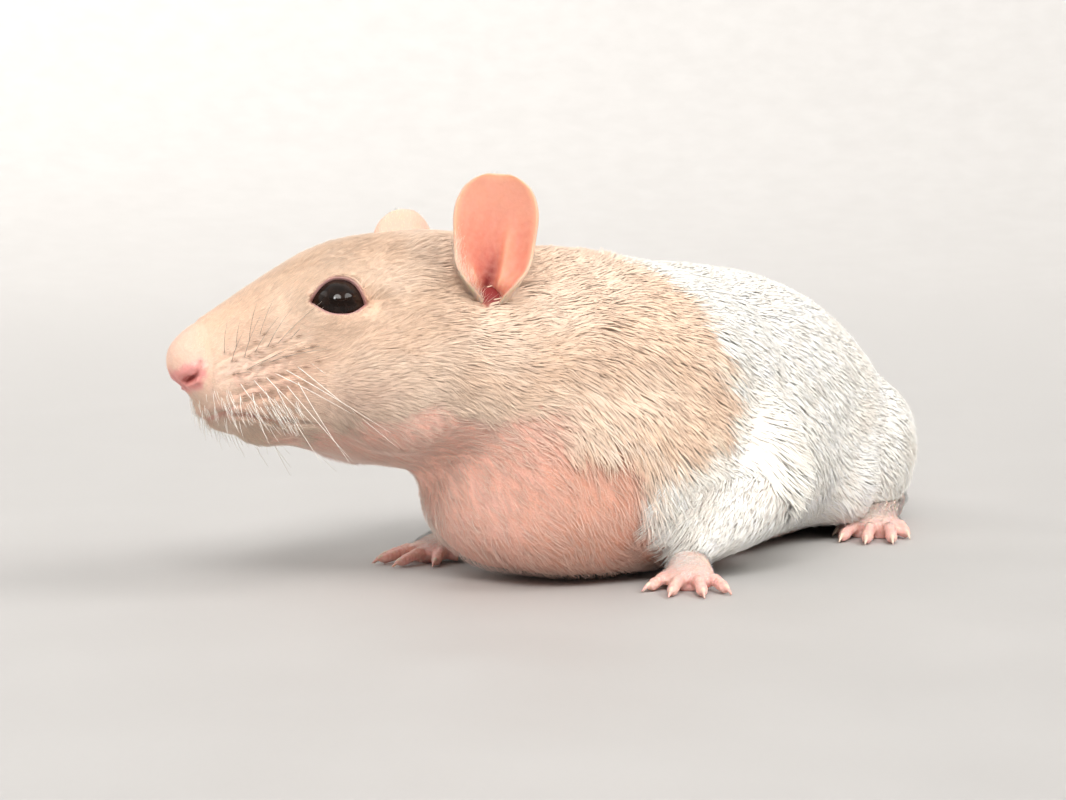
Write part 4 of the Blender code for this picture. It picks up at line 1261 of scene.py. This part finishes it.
# Tail.
tail = {
    "line": (
        (0.0, 72.0), (0.0, 84.0), (-1.5, 98.0), (-6.5, 116.0), (-17.0, 133.0), (-33.0, 146.0),
        (-52.0, 153.0), (-72.0, 159.0), (-90.0, 168.0), (-105.0, 181.0),
    ),
    "root": 4.3, "tip": 0.8, "lift": 5.5, "rest": 34.0, "rings": 520, "sides": 36, "ring": 1.05,
}
tailPlan = curveThrough(np.array(tail["line"]), tail["rings"])
tailLengths = np.concatenate([[0], np.cumsum(np.linalg.norm(np.diff(tailPlan, axis=0), axis=1))])
tailWhole = tailLengths[-1]
tailGirth = tail["root"] + (tail["tip"] - tail["root"]) * (tailLengths / tailWhole) ** 0.82
tailFall = np.clip(1 - tailLengths / tail["rest"], 0, 1)
tailHeights = tailGirth * 0.94 + tail["lift"] * tailFall**2 * (3 - 2 * tailFall)
tailPath = np.column_stack([tailPlan, tailHeights]) + step
tailPath[:, 2] -= step[2]
tailGirth = tailGirth * np.interp(tailLengths, [tailWhole - 1.2, tailWhole], [1.0, 0.45])
tailPoints, tailFaces = tube(tailPath, tailGirth - 0.06, tail["sides"])
tailPoints[:, 2] = np.maximum(tailPoints[:, 2], floorGap)
tailSkin = newObject("tail", tailPoints, tailFaces)
alongTail = np.repeat(tailLengths, tail["sides"])
aroundTail = np.tile(np.arange(tail["sides"]) / tail["sides"], tail["rings"])
ringNow = tail["ring"] * mix(1.0, 0.72, alongTail / tailWhole)
tailRings = np.abs(np.mod(alongTail / ringNow + 0.06 * np.sin(aroundTail * 12 * math.pi), 1.0) - 0.5) * 2
tailNormals = readNormals(tailSkin.data)
relief = (ease(0.0, 0.35, tailRings) - 0.6) * 0.07 * ease(0, 8, alongTail)
relief = relief * np.interp(alongTail, [0, tailWhole], [1.2, 0.5])
tailPoints = readPoints(tailSkin.data) + tailNormals * relief[:, None]
tailPoints[:, 2] = np.maximum(tailPoints[:, 2], floorGap)
writePoints(tailSkin.data, tailPoints)
tailColour = mix(tones["paw"], tones["tail"], ease(-0.3, 0.6, noise(tailPoints, 18, 8))[:, None])
tailColour = mix(tailColour, tones["cream"], 0.22)
# Darker in the grooves between the rings: painted shade.
tailColour = mix(tailColour * np.array([0.66, 0.50, 0.46]), tailColour, ease(0.0, 0.45, tailRings)[:, None])
setColours(tailSkin.data, "coat", tailColour)
tailFinish = Finish("tail_skin", roughness=0.52, Specular_IOR_Level=0.35)
tailFinish.flesh(0.15, (0.0015, 0.0006, 0.0004))
tailNoise = tailFinish.noise(650.0, 4.0)
tailFinish.colour(
    tailFinish.blend(
        tailFinish.span(tailNoise, 0.35, 0.65, 0.0, 0.4), tailFinish.attribute("coat"),
        (0.80, 0.62, 0.50, 1),
    )
)
tailFinish.rough(tailFinish.span(tailNoise, 0.3, 0.7, 0.46, 0.62))
tailFinish.normal(tailFinish.relief(tailFinish.cells(1500.0), 0.00015, 0.7))
tailNormals = readNormals(tailSkin.data)
finishPiece(tailSkin, tailFinish.material, [f"tail_{n}" for n in range(1, 6)])
print("tail")

# Whiskers.
whiskerFinish = Finish("whisker", roughness=0.38, Specular_IOR_Level=0.5)
whiskerFinish.colour(
    whiskerFinish.blend(
        whiskerFinish.noise(300.0, 2.0) * 0.4, whiskerFinish.attribute("coat"), (0.80, 0.74, 0.66, 1)
    )
)
whisker = {
    # For each row from the highest: how it rises from straight back, in degrees, and its length in
    # front and behind.
    "rise": (62.0, 38.0, 4.0, -42.0, -60.0),
    "short": (3.5, 4.5, 3.5, 5.0, 4.0),
    "long": (5.5, 6.5, 8.0, 15.0, 13.0),
    "droop": (0.10, 0.04, -0.04, -0.14, -0.14),
    "darkRows": 3, "darkGirth": 0.026, "paleGirth": 0.044,
    "bristles": 130, "bristleGirth": 0.024,
    "lowest": 0.15, "highest": 53.6,
}
whiskerParts = {"points": [], "faces": []}
whiskerColours = []


def addWhisker(root, way, droop, length, girth, shade):
    rings, sides = (14, 5) if length > 3 else (6, 4)
    t = np.linspace(0, 1, rings)
    path = root + np.outer(t * length, way) + np.outer((t**2) * length, droop)
    path = np.vstack([root - way * 0.4, path])
    girths = np.concatenate([[girth], girth * (1 - t) ** 0.8 + 0.012])
    count = addTube(whiskerParts, path, girths, sides, reference=(0.3, 0.2, 1.0))
    whiskerColours.append(np.broadcast_to(shade, (count, 3)))


for side, row, number, place, normal in whiskerRoots:
    share = number / 6
    length = mix(whisker["short"][row], whisker["long"][row], share) * rng.uniform(0.8, 1.15)
    rise = math.radians(whisker["rise"][row] + rng.normal(0, 5))
    plane = -headAhead * math.cos(rise) + headUp * math.sin(rise)
    way = unit(plane + normal * mix(0.75, 0.35, share) + headAhead * mix(0.45, 0.0, share))
    droop = headUp * whisker["droop"][row] - headAhead * 0.22 - headLeft * side * 0.12
    kind = "dark" if row < whisker["darkRows"] else "pale"
    addWhisker(place, way, droop, length, whisker[kind + "Girth"], tones[kind + "Whisker"])
for side in (1, -1):
    # Short pale bristles on lips and chin.
    for _ in range(whisker["bristles"]):
        back = 3.6 + rng.uniform(0, 11)
        found = surfaceAt(back, side, float(lipHeight(back)) + rng.uniform(-0.9, 2.6))
        if found is not None:
            way = unit(found[1] * 0.42 - headAhead * rng.uniform(0.1, 0.5) - headUp * 1.0)
            length = rng.uniform(0.9, 2.4)
            addWhisker(found[0], way, -headAhead * 0.15, length, whisker["bristleGirth"], tones["bristle"])
for places in whiskerParts["points"]:
    places[:, 2] = np.clip(places[:, 2], whisker["lowest"], whisker["highest"])
whiskers = newObject("whiskers", np.vstack(whiskerParts["points"]), whiskerParts["faces"])
setColours(whiskers.data, "coat", np.vstack(whiskerColours))
finishPiece(whiskers, whiskerFinish.material)
print("whiskers", len(whiskerParts["points"]))

# Coat.
coat = {
    # Tufts to a square millimetre.
    "face": 46.0, "head": 26.0, "body": 6.9, "under": 3.2, "throat": 12.0, "leg": 11.0,
    # Length and width of a tuft by its distance back from the nose.
    "backs": [2.5, 6.0, 12.0, 22.0, 34.0, 46.0, 62.0],
    "lengths": [0.50, 0.85, 1.3, 2.0, 2.8, 4.2, 5.6],
    "widths": [0.07, 0.09, 0.12, 0.155, 0.19, 0.23, 0.27],
    "legLength": 3.0, "legWidth": 0.17, "bareLength": 2.4, "bareWidth": 0.065,
    "wispLength": 7.6, "wispWidth": 0.25,
    "thick": 0.36, "follow": 0.85, "clump": 22,  # thickness in widths, shading, tufts to a clump
    "straight": 36.0, "triangles": 195000, "patch": 0.0015,
}


def triangleData(mesh):
    mesh.calc_loop_triangles()
    flat = np.empty(len(mesh.loop_triangles) * 3, np.int32)
    mesh.loop_triangles.foreach_get("vertices", flat)
    return flat.reshape(-1, 3)


def scatter(p, triangles, density, seed):
    # Seeded places on a surface, so many to a square millimetre.
    local = np.random.default_rng(seed)
    a, b, c = p[triangles[:, 0]], p[triangles[:, 1]], p[triangles[:, 2]]
    area = np.linalg.norm(np.cross(b - a, c - a), axis=1) / 2
    wanted = area * density[triangles].mean(axis=1)
    total = int(wanted.sum())
    marks = (np.arange(total) + local.random(total)) / total
    chosen = np.searchsorted(np.cumsum(wanted) / wanted.sum(), marks)
    chosen = np.minimum(chosen, len(triangles) - 1)
    u, v = local.random(total), local.random(total)
    over = u + v > 1
    u[over], v[over] = 1 - u[over], 1 - v[over]
    weights = np.stack([1 - u - v, u, v], axis=1)
    return chosen, weights


def spread(values, triangles, chosen, weights):
    return np.einsum("ij,ij...->i...", weights, values[triangles[chosen]])


def lieOfCoat(p, n, legs):
    # The way that the hairs point, along the skin.
    back, out, height = toHead(p)
    jowl = ease(8, 26, back) * ease(30, 22, height)
    onTheHead = unit(p - onHead(-3.0, 0.0, 27.5)) + np.outer(jowl, -headUp) * 0.35
    flank = np.abs(n[:, 0])
    onTheBody = np.column_stack([np.zeros(len(p)), np.ones(len(p)), -0.55 * flank - 0.1])
    front = ease(-0.2, -0.8, n[:, 1]) * ease(30, 20, p[:, 2])
    onTheBody = mix(onTheBody, np.array([0.0, 0.25, -1.0]), front[:, None])
    way = mix(onTheHead, onTheBody, ease(34, 58, back)[:, None])
    way = np.where(legs[:, None] > 0.5, np.array([0.0, -0.75, -0.65]), way)
    swirl = noise(p, 22, 11) * 0.34 + noise(p, 8, 12) * 0.22
    swirl = swirl + noise(p, 4, 13) * 0.34 * ease(12, 26, back) * ease(80, 60, back)
    swirl = swirl * mix(1.0, 0.35, legs)
    way = unit(way - n * np.einsum("ij,ij->i", way, n)[:, None])
    side = np.cross(n, way)
    return unit(way * np.cos(swirl)[:, None] + side * np.sin(swirl)[:, None])


skinTriangles = triangleData(skin.data)
kindsFine = nearestKinds(points, nearTree, nearKinds)
isLeg = np.isin(kindsFine, forelegs).astype(float) * ease(18, 10, points[:, 2])
back, out, height = toHead(points)
underHere = belowShare(points, normals)
densities = [coat["face"] * 0.8, coat["face"], coat["face"], coat["head"], coat["body"]]
density = np.interp(back, [0.0, 5.0, 12.0, 34.0, 50.0], densities)
density = mix(density, mix(coat["throat"], coat["under"], ease(24, 40, back)), ease(0.35, 1.0, underHere))
density = np.where(isLeg > 0.3, np.maximum(density, coat["leg"]), density)
density = density * mix(2.4, 1.0, ease(4.5, 7.0, fromEyes(points)))
density = density * (1 - np.clip(bareShare(points) + lidRim * 1.4 + canalShare(points), 0, 1))
density = np.where(points[:, 2] < 0.8, density * 0.3, density) * tuftShare
chosen, weights = scatter(points, skinTriangles, density, 7)
roots = spread(points, skinTriangles, chosen, weights)
rootNormals = unit(spread(normals, skinTriangles, chosen, weights))
rootLegs = spread(isLeg, skinTriangles, chosen, weights)
rootKinds = kindsFine[skinTriangles[chosen, 0]]
print("tufts", len(roots))


def unwrapOf(obj, p, voxel):
    # A function that finds places on an unwrap of a piece's own shape, by way of a coarser copy.
    coarse = obj.copy()
    coarse.data = obj.data.copy()
    coarse.parent = None
    for key in list(coarse.keys()):
        del coarse[key]
    coarse.name = "unwrap"
    bpy.context.scene.collection.objects.link(coarse)
    writePoints(coarse.data, p)
    remesh(coarse, voxel)
    select(coarse)
    bpy.ops.object.mode_set(mode="EDIT")
    bpy.ops.mesh.select_all(action="SELECT")
    bpy.ops.uv.smart_project(angle_limit=math.radians(62), island_margin=0.004)
    bpy.ops.object.mode_set(mode="OBJECT")
    corners = triangleData(coarse.data)
    loops = np.empty(len(coarse.data.loop_triangles) * 3, np.int32)
    coarse.data.loop_triangles.foreach_get("loops", loops)
    flat = np.empty(len(coarse.data.loops) * 2, np.float32)
    coarse.data.uv_layers.active.data.foreach_get("uv", flat)
    flat = flat.reshape(-1, 2)[loops.reshape(-1, 3)]
    places = readPoints(coarse.data)
    tree = BVHTree.FromPolygons([Vector(q) for q in places], [tuple(int(i) for i in t) for t in corners])
    bpy.data.objects.remove(coarse)

    def find(q):
        found = [tree.find_nearest(Vector(spot)) for spot in q]
        faces = np.array([hit[2] for hit in found])
        a, b, c = (places[corners[faces, k]] for k in range(3))
        s, ab, ac = np.array([hit[0] for hit in found]) - a, b - a, c - a
        d00, d01, d11 = (np.einsum("ij,ij->i", u, v) for u, v in ((ab, ab), (ab, ac), (ac, ac)))
        d20, d21 = (np.einsum("ij,ij->i", s, v) for v in (ab, ac))
        det = np.maximum(d00 * d11 - d01 * d01, 1e-12)
        v, w = (d11 * d20 - d01 * d21) / det, (d00 * d21 - d01 * d20) / det
        weights = np.stack([1 - v - w, v, w], axis=1)
        return np.einsum("ij,ijk->ik", weights, flat[faces])

    return find


def growTufts(
    name, p, n, way, length, lift, width, colour, tipColour, patches, material, slot, curl=None, bent=True
):
    # One mesh of closed three-sided tufts, which taper to a point and may bend once on the way.
    count = len(p)
    side = unit(np.cross(n, way))
    thick, follow = coat["thick"], coat["follow"]
    curl = np.zeros(count) if curl is None else curl
    middle = p + way * (length * 0.50)[:, None] + n * (lift * 0.86)[:, None] + side * (curl * 0.35)[:, None]
    tip = p + way * length[:, None] + n * (lift * 0.95)[:, None] + side * curl[:, None]
    base = p - n * (0.10 + width * 0.3)[:, None]
    corners = 7 if bent else 4
    verts = np.empty((count, corners, 3))
    for k in range(3):
        angle = math.radians(90 + 120 * k)
        ring = side * (math.cos(angle) * 0.58) + n * (math.sin(angle) * thick * 0.58)
        verts[:, k] = base + ring * width[:, None]
        if bent:
            verts[:, 3 + k] = middle + ring * (width * 0.88)[:, None]
    verts[:, -1] = tip
    verts[..., 2] = np.maximum(verts[..., 2], 0.04)
    if bent:
        pattern = [(0, 1, 4, 3), (1, 2, 5, 4), (2, 0, 3, 5), (3, 4, 6), (4, 5, 6), (5, 3, 6), (2, 1, 0)]
    else:
        pattern = [(0, 1, 3), (1, 2, 3), (2, 0, 3), (2, 1, 0)]
    loops = np.array([v for face in pattern for v in face])
    totals = np.array([len(face) for face in pattern])
    starts = np.concatenate([[0], np.cumsum(totals)[:-1]])
    mesh = bpy.data.meshes.new(name)
    mesh.vertices.add(count * corners)
    mesh.vertices.foreach_set("co", verts.astype(np.float32).ravel())
    mesh.loops.add(count * len(loops))
    mesh.polygons.add(count * len(pattern))
    tufts = np.arange(count)[:, None]
    mesh.loops.foreach_set("vertex_index", (loops[None] + tufts * corners).astype(np.int32).ravel())
    mesh.polygons.foreach_set("loop_start", (starts[None] + tufts * len(loops)).astype(np.int32).ravel())
    mesh.update(calc_edges=True)
    flat = np.zeros((len(loops), 2))
    corner = [math.radians(90 + 120 * k) for k in range(3)]
    for index, v in enumerate(loops[:-3]):
        reach = 0.0 if v == corners - 1 else 1.0 if v < 3 else 0.5
        flat[index] = (math.cos(corner[v % 3]) * reach, math.sin(corner[v % 3]) * reach)
    flat[-3:] = [(-0.30, -0.62), (0.30, -0.62), (0.0, -0.95)]
    layer = mesh.uv_layers.new(name="OFBake")
    places = patches[:, None, :] + flat[None] * coat["patch"]
    layer.data.foreach_set("uv", places.astype(np.float32).ravel())
    shades = np.empty((count, corners, 3))
    shades[:, :3] = colour[:, None]
    shades[:, 3:] = mix(colour, tipColour, 0.6)[:, None]
    shades[:, -1] = tipColour
    obj = addObject(name, mesh)
    setColours(mesh, "coat", shades.reshape(-1, 3))
    finishPiece(obj, material)
    own = readNormals(mesh).reshape(count, corners, 3)
    facing = unit(own * (1 - follow) + n[:, None] * follow)
    mesh.normals_split_custom_set_from_vertices([tuple(v) for v in facing.reshape(-1, 3)])
    return obj


coatFinish = Finish("fur", roughness=0.55, Specular_IOR_Level=0.28)
coatFinish.shader.inputs["Sheen Weight"].default_value = 0.35
coatFinish.shader.inputs["Sheen Roughness"].default_value = 0.45
furNoise = coatFinish.noise(900.0, 3.0)
coatFinish.colour(
    coatFinish.blend(
        coatFinish.span(furNoise, 0.3, 0.7, 0.0, 0.28), coatFinish.attribute("coat"), (0.56, 0.50, 0.44, 1),
        "SOFT_LIGHT",
    )
)
coatFinish.rough(coatFinish.span(furNoise, 0.3, 0.7, 0.48, 0.64))
coatFinish.normal(coatFinish.relief(coatFinish.noise(5000.0, 2.0), 0.00004, 0.4))

way = lieOfCoat(roots, rootNormals, rootLegs)
depth = coatDepth(roots, rootKinds)
back, out, height = toHead(roots)
chance = np.random.default_rng(77)
total = len(roots)
under = belowShare(roots, rootNormals)
length = np.interp(back, coat["backs"], coat["lengths"])
width = np.interp(back, coat["backs"], coat["widths"])
straight = (back < coat["straight"] + chance.normal(0, 2.0, total)) & (rootLegs < 0.3)
width = np.where(straight, width * 1.05, width)
length = np.where(rootLegs > 0.3, coat["legLength"], length)
width = np.where(rootLegs > 0.3, coat["legWidth"], width)
bald = ease(0.45, 0.95, under + noise(roots, 3, 17) * 0.15 + chance.normal(0, 0.13, total))
width = mix(width, coat["bareWidth"], bald)
length = mix(length, coat["bareLength"], bald)
# Long wisps hang over the border of the bare breast.
wisps = bump(under - 0.22, 0.20) * ease(30, 38, back) * ease(6, 10, roots[:, 2]) * (1 - bald)
wisps = wisps * (chance.random(total) < 0.6) * (rootLegs < 0.1)
length = mix(length, coat["wispLength"], wisps)
width = mix(width, coat["wispWidth"], wisps)
eyeGap = fromEyes(roots)
length = length * mix(0.50, 1.0, ease(3.8, 6.0, eyeGap))
width = width * mix(0.6, 1.0, ease(4.2, 8.0, eyeGap))
length = length * chance.uniform(0.72, 1.18, total)
width = width * chance.uniform(0.75, 1.2, total)
lift = np.maximum(depth * chance.uniform(0.68, 1.0, total) - length**2 / 80.0, 0.10 + 0.1 * depth)
curl = chance.normal(0, 0.12, total) * length * ease(26, 40, back)

# Tufts gather to the tips of their neighbours, as short fur does.
centres = chance.choice(total, total // coat["clump"], replace=False)
clumpTree = KDTree(len(centres))
for i, q in enumerate(roots[centres]):
    clumpTree.insert(Vector(q), i)
clumpTree.balance()
clump = np.array([clumpTree.find(Vector(q))[1] for q in roots])
leader = centres[clump]
gather = np.interp(back, [4, 20, 32, 45], [0.10, 0.28, 0.44, 0.40]) * chance.uniform(0.5, 1.0, total)
goal = roots[leader] + way[leader] * (length[leader] * 1.05)[:, None]
pull = goal - (roots + way * length[:, None])
pull -= rootNormals * np.einsum("ij,ij->i", pull, rootNormals)[:, None]
far = np.linalg.norm(pull, axis=1)
pull *= np.minimum(1.0, 0.5 * length / np.maximum(far, 1e-6))[:, None]
aimed = way * length[:, None] + pull * gather[:, None]
length = np.linalg.norm(aimed, axis=1)
way = unit(aimed)

base = coatColour(roots, rootNormals)
base = mix(base, tones["cream"], (wisps * 0.45)[:, None])
tone = chance.normal(0, 1.0, total) * np.interp(back, [0, 25, 45], [0.10, 0.07, 0.05])
tone = 1 + (tone + noise(roots, 5, 21) * 0.04)[:, None]
clumpTone = 1 + chance.normal(0, 0.055, len(centres))[clump][:, None]
hooded = hoodShare(roots)
tone = tone - (hooded * (chance.random(total) < 0.06) * 0.12)[:, None]
follicle = np.zeros(total)
onPad = np.nonzero(back < 18)[0]
for place in rootPlaces:
    follicle[onPad] = np.maximum(follicle[onPad], bump(np.linalg.norm(roots[onPad] - place, axis=1), 0.30))
base = mix(base, tones["follicle"], (follicle * 0.95)[:, None])
rootShade = mix(base, tones["grey"] * 1.5, (hooded * ease(12, 30, back) * 0.12)[:, None])
tipShade = np.clip(base * tone * clumpTone * 1.04, 0, 0.97)
rootShade = np.clip(rootShade * tone, 0, 0.95)

# No hair reaches over an eye or into an ear, or starts within the tail.
clear = np.ones(total, bool)
for i in np.nonzero(roots[:, 1] > 2.0)[0]:
    apart = np.linalg.norm(tailPath[:160] - roots[i], axis=1)
    nearest = apart.argmin()
    clear[i] = apart[nearest] > tailGirth[nearest] + 0.25
for side in (1, -1):
    axes = eyeAxes(side)
    for share in (0.55, 1.0):
        rel = roots + way * (length * share)[:, None] - eyeAt[side]
        near = np.linalg.norm(rel, axis=1) < 7.0
        gap = np.full(total, 9.0)
        gap[near] = almondDistance(rel[near] @ axes[0], rel[near] @ axes[2])
        clear &= (gap > 0.12) | (rel @ axes[1] < 0)
        clear &= canalShare(roots + way * (length * share)[:, None] + rootNormals * lift[:, None]) < 0.4
patches = unwrapOf(skin, points, 1.7)(roots)
pieces = 0
for bent in (False, True):
    order = chance.permutation(np.nonzero((straight != bent) & clear)[0])
    share = math.ceil(len(order) * (10 if bent else 4) / coat["triangles"])
    for number in range(share):
        pick = order[number::share]
        pieces += 1
        growTufts(
            f"coat_{pieces}", roots[pick], rootNormals[pick], way[pick], length[pick], lift[pick],
            width[pick], rootShade[pick], tipShade[pick], patches[pick], coatFinish.material,
            "fawn_fur" if number % 2 else "white_fur", curl=curl[pick], bent=bent,
        )
    print("coat", len(order), "bent" if bent else "straight", "in", share)

# Fine down on the ears, and short hairs on the feet and tail.
down = {
    "cells": 3,  # each way in its map, one for each piece that has down
    "ear": 4.5, "earRimHighlight": 14.0, "paw": 16.0, "tail": 1.5,  # hairs to a square millimetre
}
downParts = {key: [] for key in ("points", "normals", "ways", "lengths", "widths", "colours", "patches")}


def addDown(obj, shape, voxel, p, n, way, length, width, colour):
    count, cell = len(p), len(downParts["patches"])
    corner = np.array([cell % down["cells"], cell // down["cells"]]) / down["cells"]
    downParts["patches"].append(corner + unwrapOf(obj, shape, voxel)(p) / down["cells"])
    downParts["points"].append(p)
    downParts["normals"].append(n)
    downParts["ways"].append(unit(way - n * np.einsum("ij,ij->i", way, n)[:, None]))
    downParts["lengths"].append(length * chance.uniform(0.7, 1.2, count))
    downParts["widths"].append(width * chance.uniform(0.8, 1.2, count))
    downParts["colours"].append(np.broadcast_to(colour, (count, 3)))


def scatterDown(p, n, triangles, density, seed):
    # Places and directions of the down on a piece, and the draw that found them.
    chosen, weights = scatter(p, triangles, density * tuftShare, seed)
    q, m = (spread(values, triangles, chosen, weights) for values in (p, n))
    return q, unit(m), (triangles, chosen, weights)


for side, (p, n) in earData.items():
    axes = earAxes(side)
    rise = (p - earRoot(side)) @ axes[2] / ear["height"][side]
    outer = np.zeros(len(p))
    outer[len(p) // 2 :] = 1  # the outside's points follow the inside's
    columns = ear["places"][1]
    across = np.tile(np.linspace(-1, 1, columns), len(p) // columns)
    frontward = across * (1 if axes[0] @ headAhead > 0 else -1)
    frontRim = ease(0.62, 0.90, frontward) * ease(0.62, 0.40, rise)
    density = down["ear"] * outer * (1 + 1.2 * ease(0.30, 0.05, rise)) + down["earRimHighlight"] * frontRim
    density = density * ease(-0.02, 0.05, rise)
    q, m, draw = scatterDown(p, n, triangleData(earParts[side].data), density, 31 + side)
    ways = np.broadcast_to(axes[2], q.shape) + chance.normal(0, 0.25, q.shape)
    size = mix(0.55, 1.6, ease(0.3, 0.0, spread(rise, *draw))) + 0.7 * spread(frontRim, *draw)
    addDown(earParts[side], p, 0.24, q, m, ways, size, 0.07, tones["fawnPale"])
for name, (p, n) in pawData.items():
    paw = bpy.data.objects[name]
    density = down["paw"] * ease(1.4, 3.0, p[:, 2]) * ease(-0.1, 0.5, n[:, 2] + 0.4)
    q, m, _ = scatterDown(p, n, triangleData(paw.data), density, 51)
    ways = np.broadcast_to(np.array([0.0, -1.0, -0.2]), q.shape) + chance.normal(0, 0.15, q.shape)
    addDown(paw, p, 0.5, q, m, ways, mix(0.7, 1.6, ease(2.0, 4.0, q[:, 2])), 0.075, tones["white"])
density = np.full(len(tailPoints), down["tail"])
q, m, draw = scatterDown(tailPoints, tailNormals, triangleData(tailSkin.data), density, 61)
alongSkin = np.repeat(unit(np.gradient(tailPath, axis=0)), tail["sides"], axis=0)
shade = mix(tones["cream"], tones["fawnPale"], 0.3)
addDown(tailSkin, tailPoints, 0.5, q, m, spread(alongSkin, *draw), np.full(len(q), 1.5), 0.06, shade)
p, n, ways = (np.vstack(downParts[key]) for key in ("points", "normals", "ways"))
sizes, widths = (np.concatenate(downParts[key]) for key in ("lengths", "widths"))
shades, patches = (np.vstack(downParts[key]) for key in ("colours", "patches"))
growTufts(
    "down", p, n, ways, sizes, sizes * 0.32, widths, shades * 0.9, np.clip(shades * 1.05, 0, 0.95),
    patches, coatFinish.material, "white_fur", bent=False,
)
print("down", len(p))
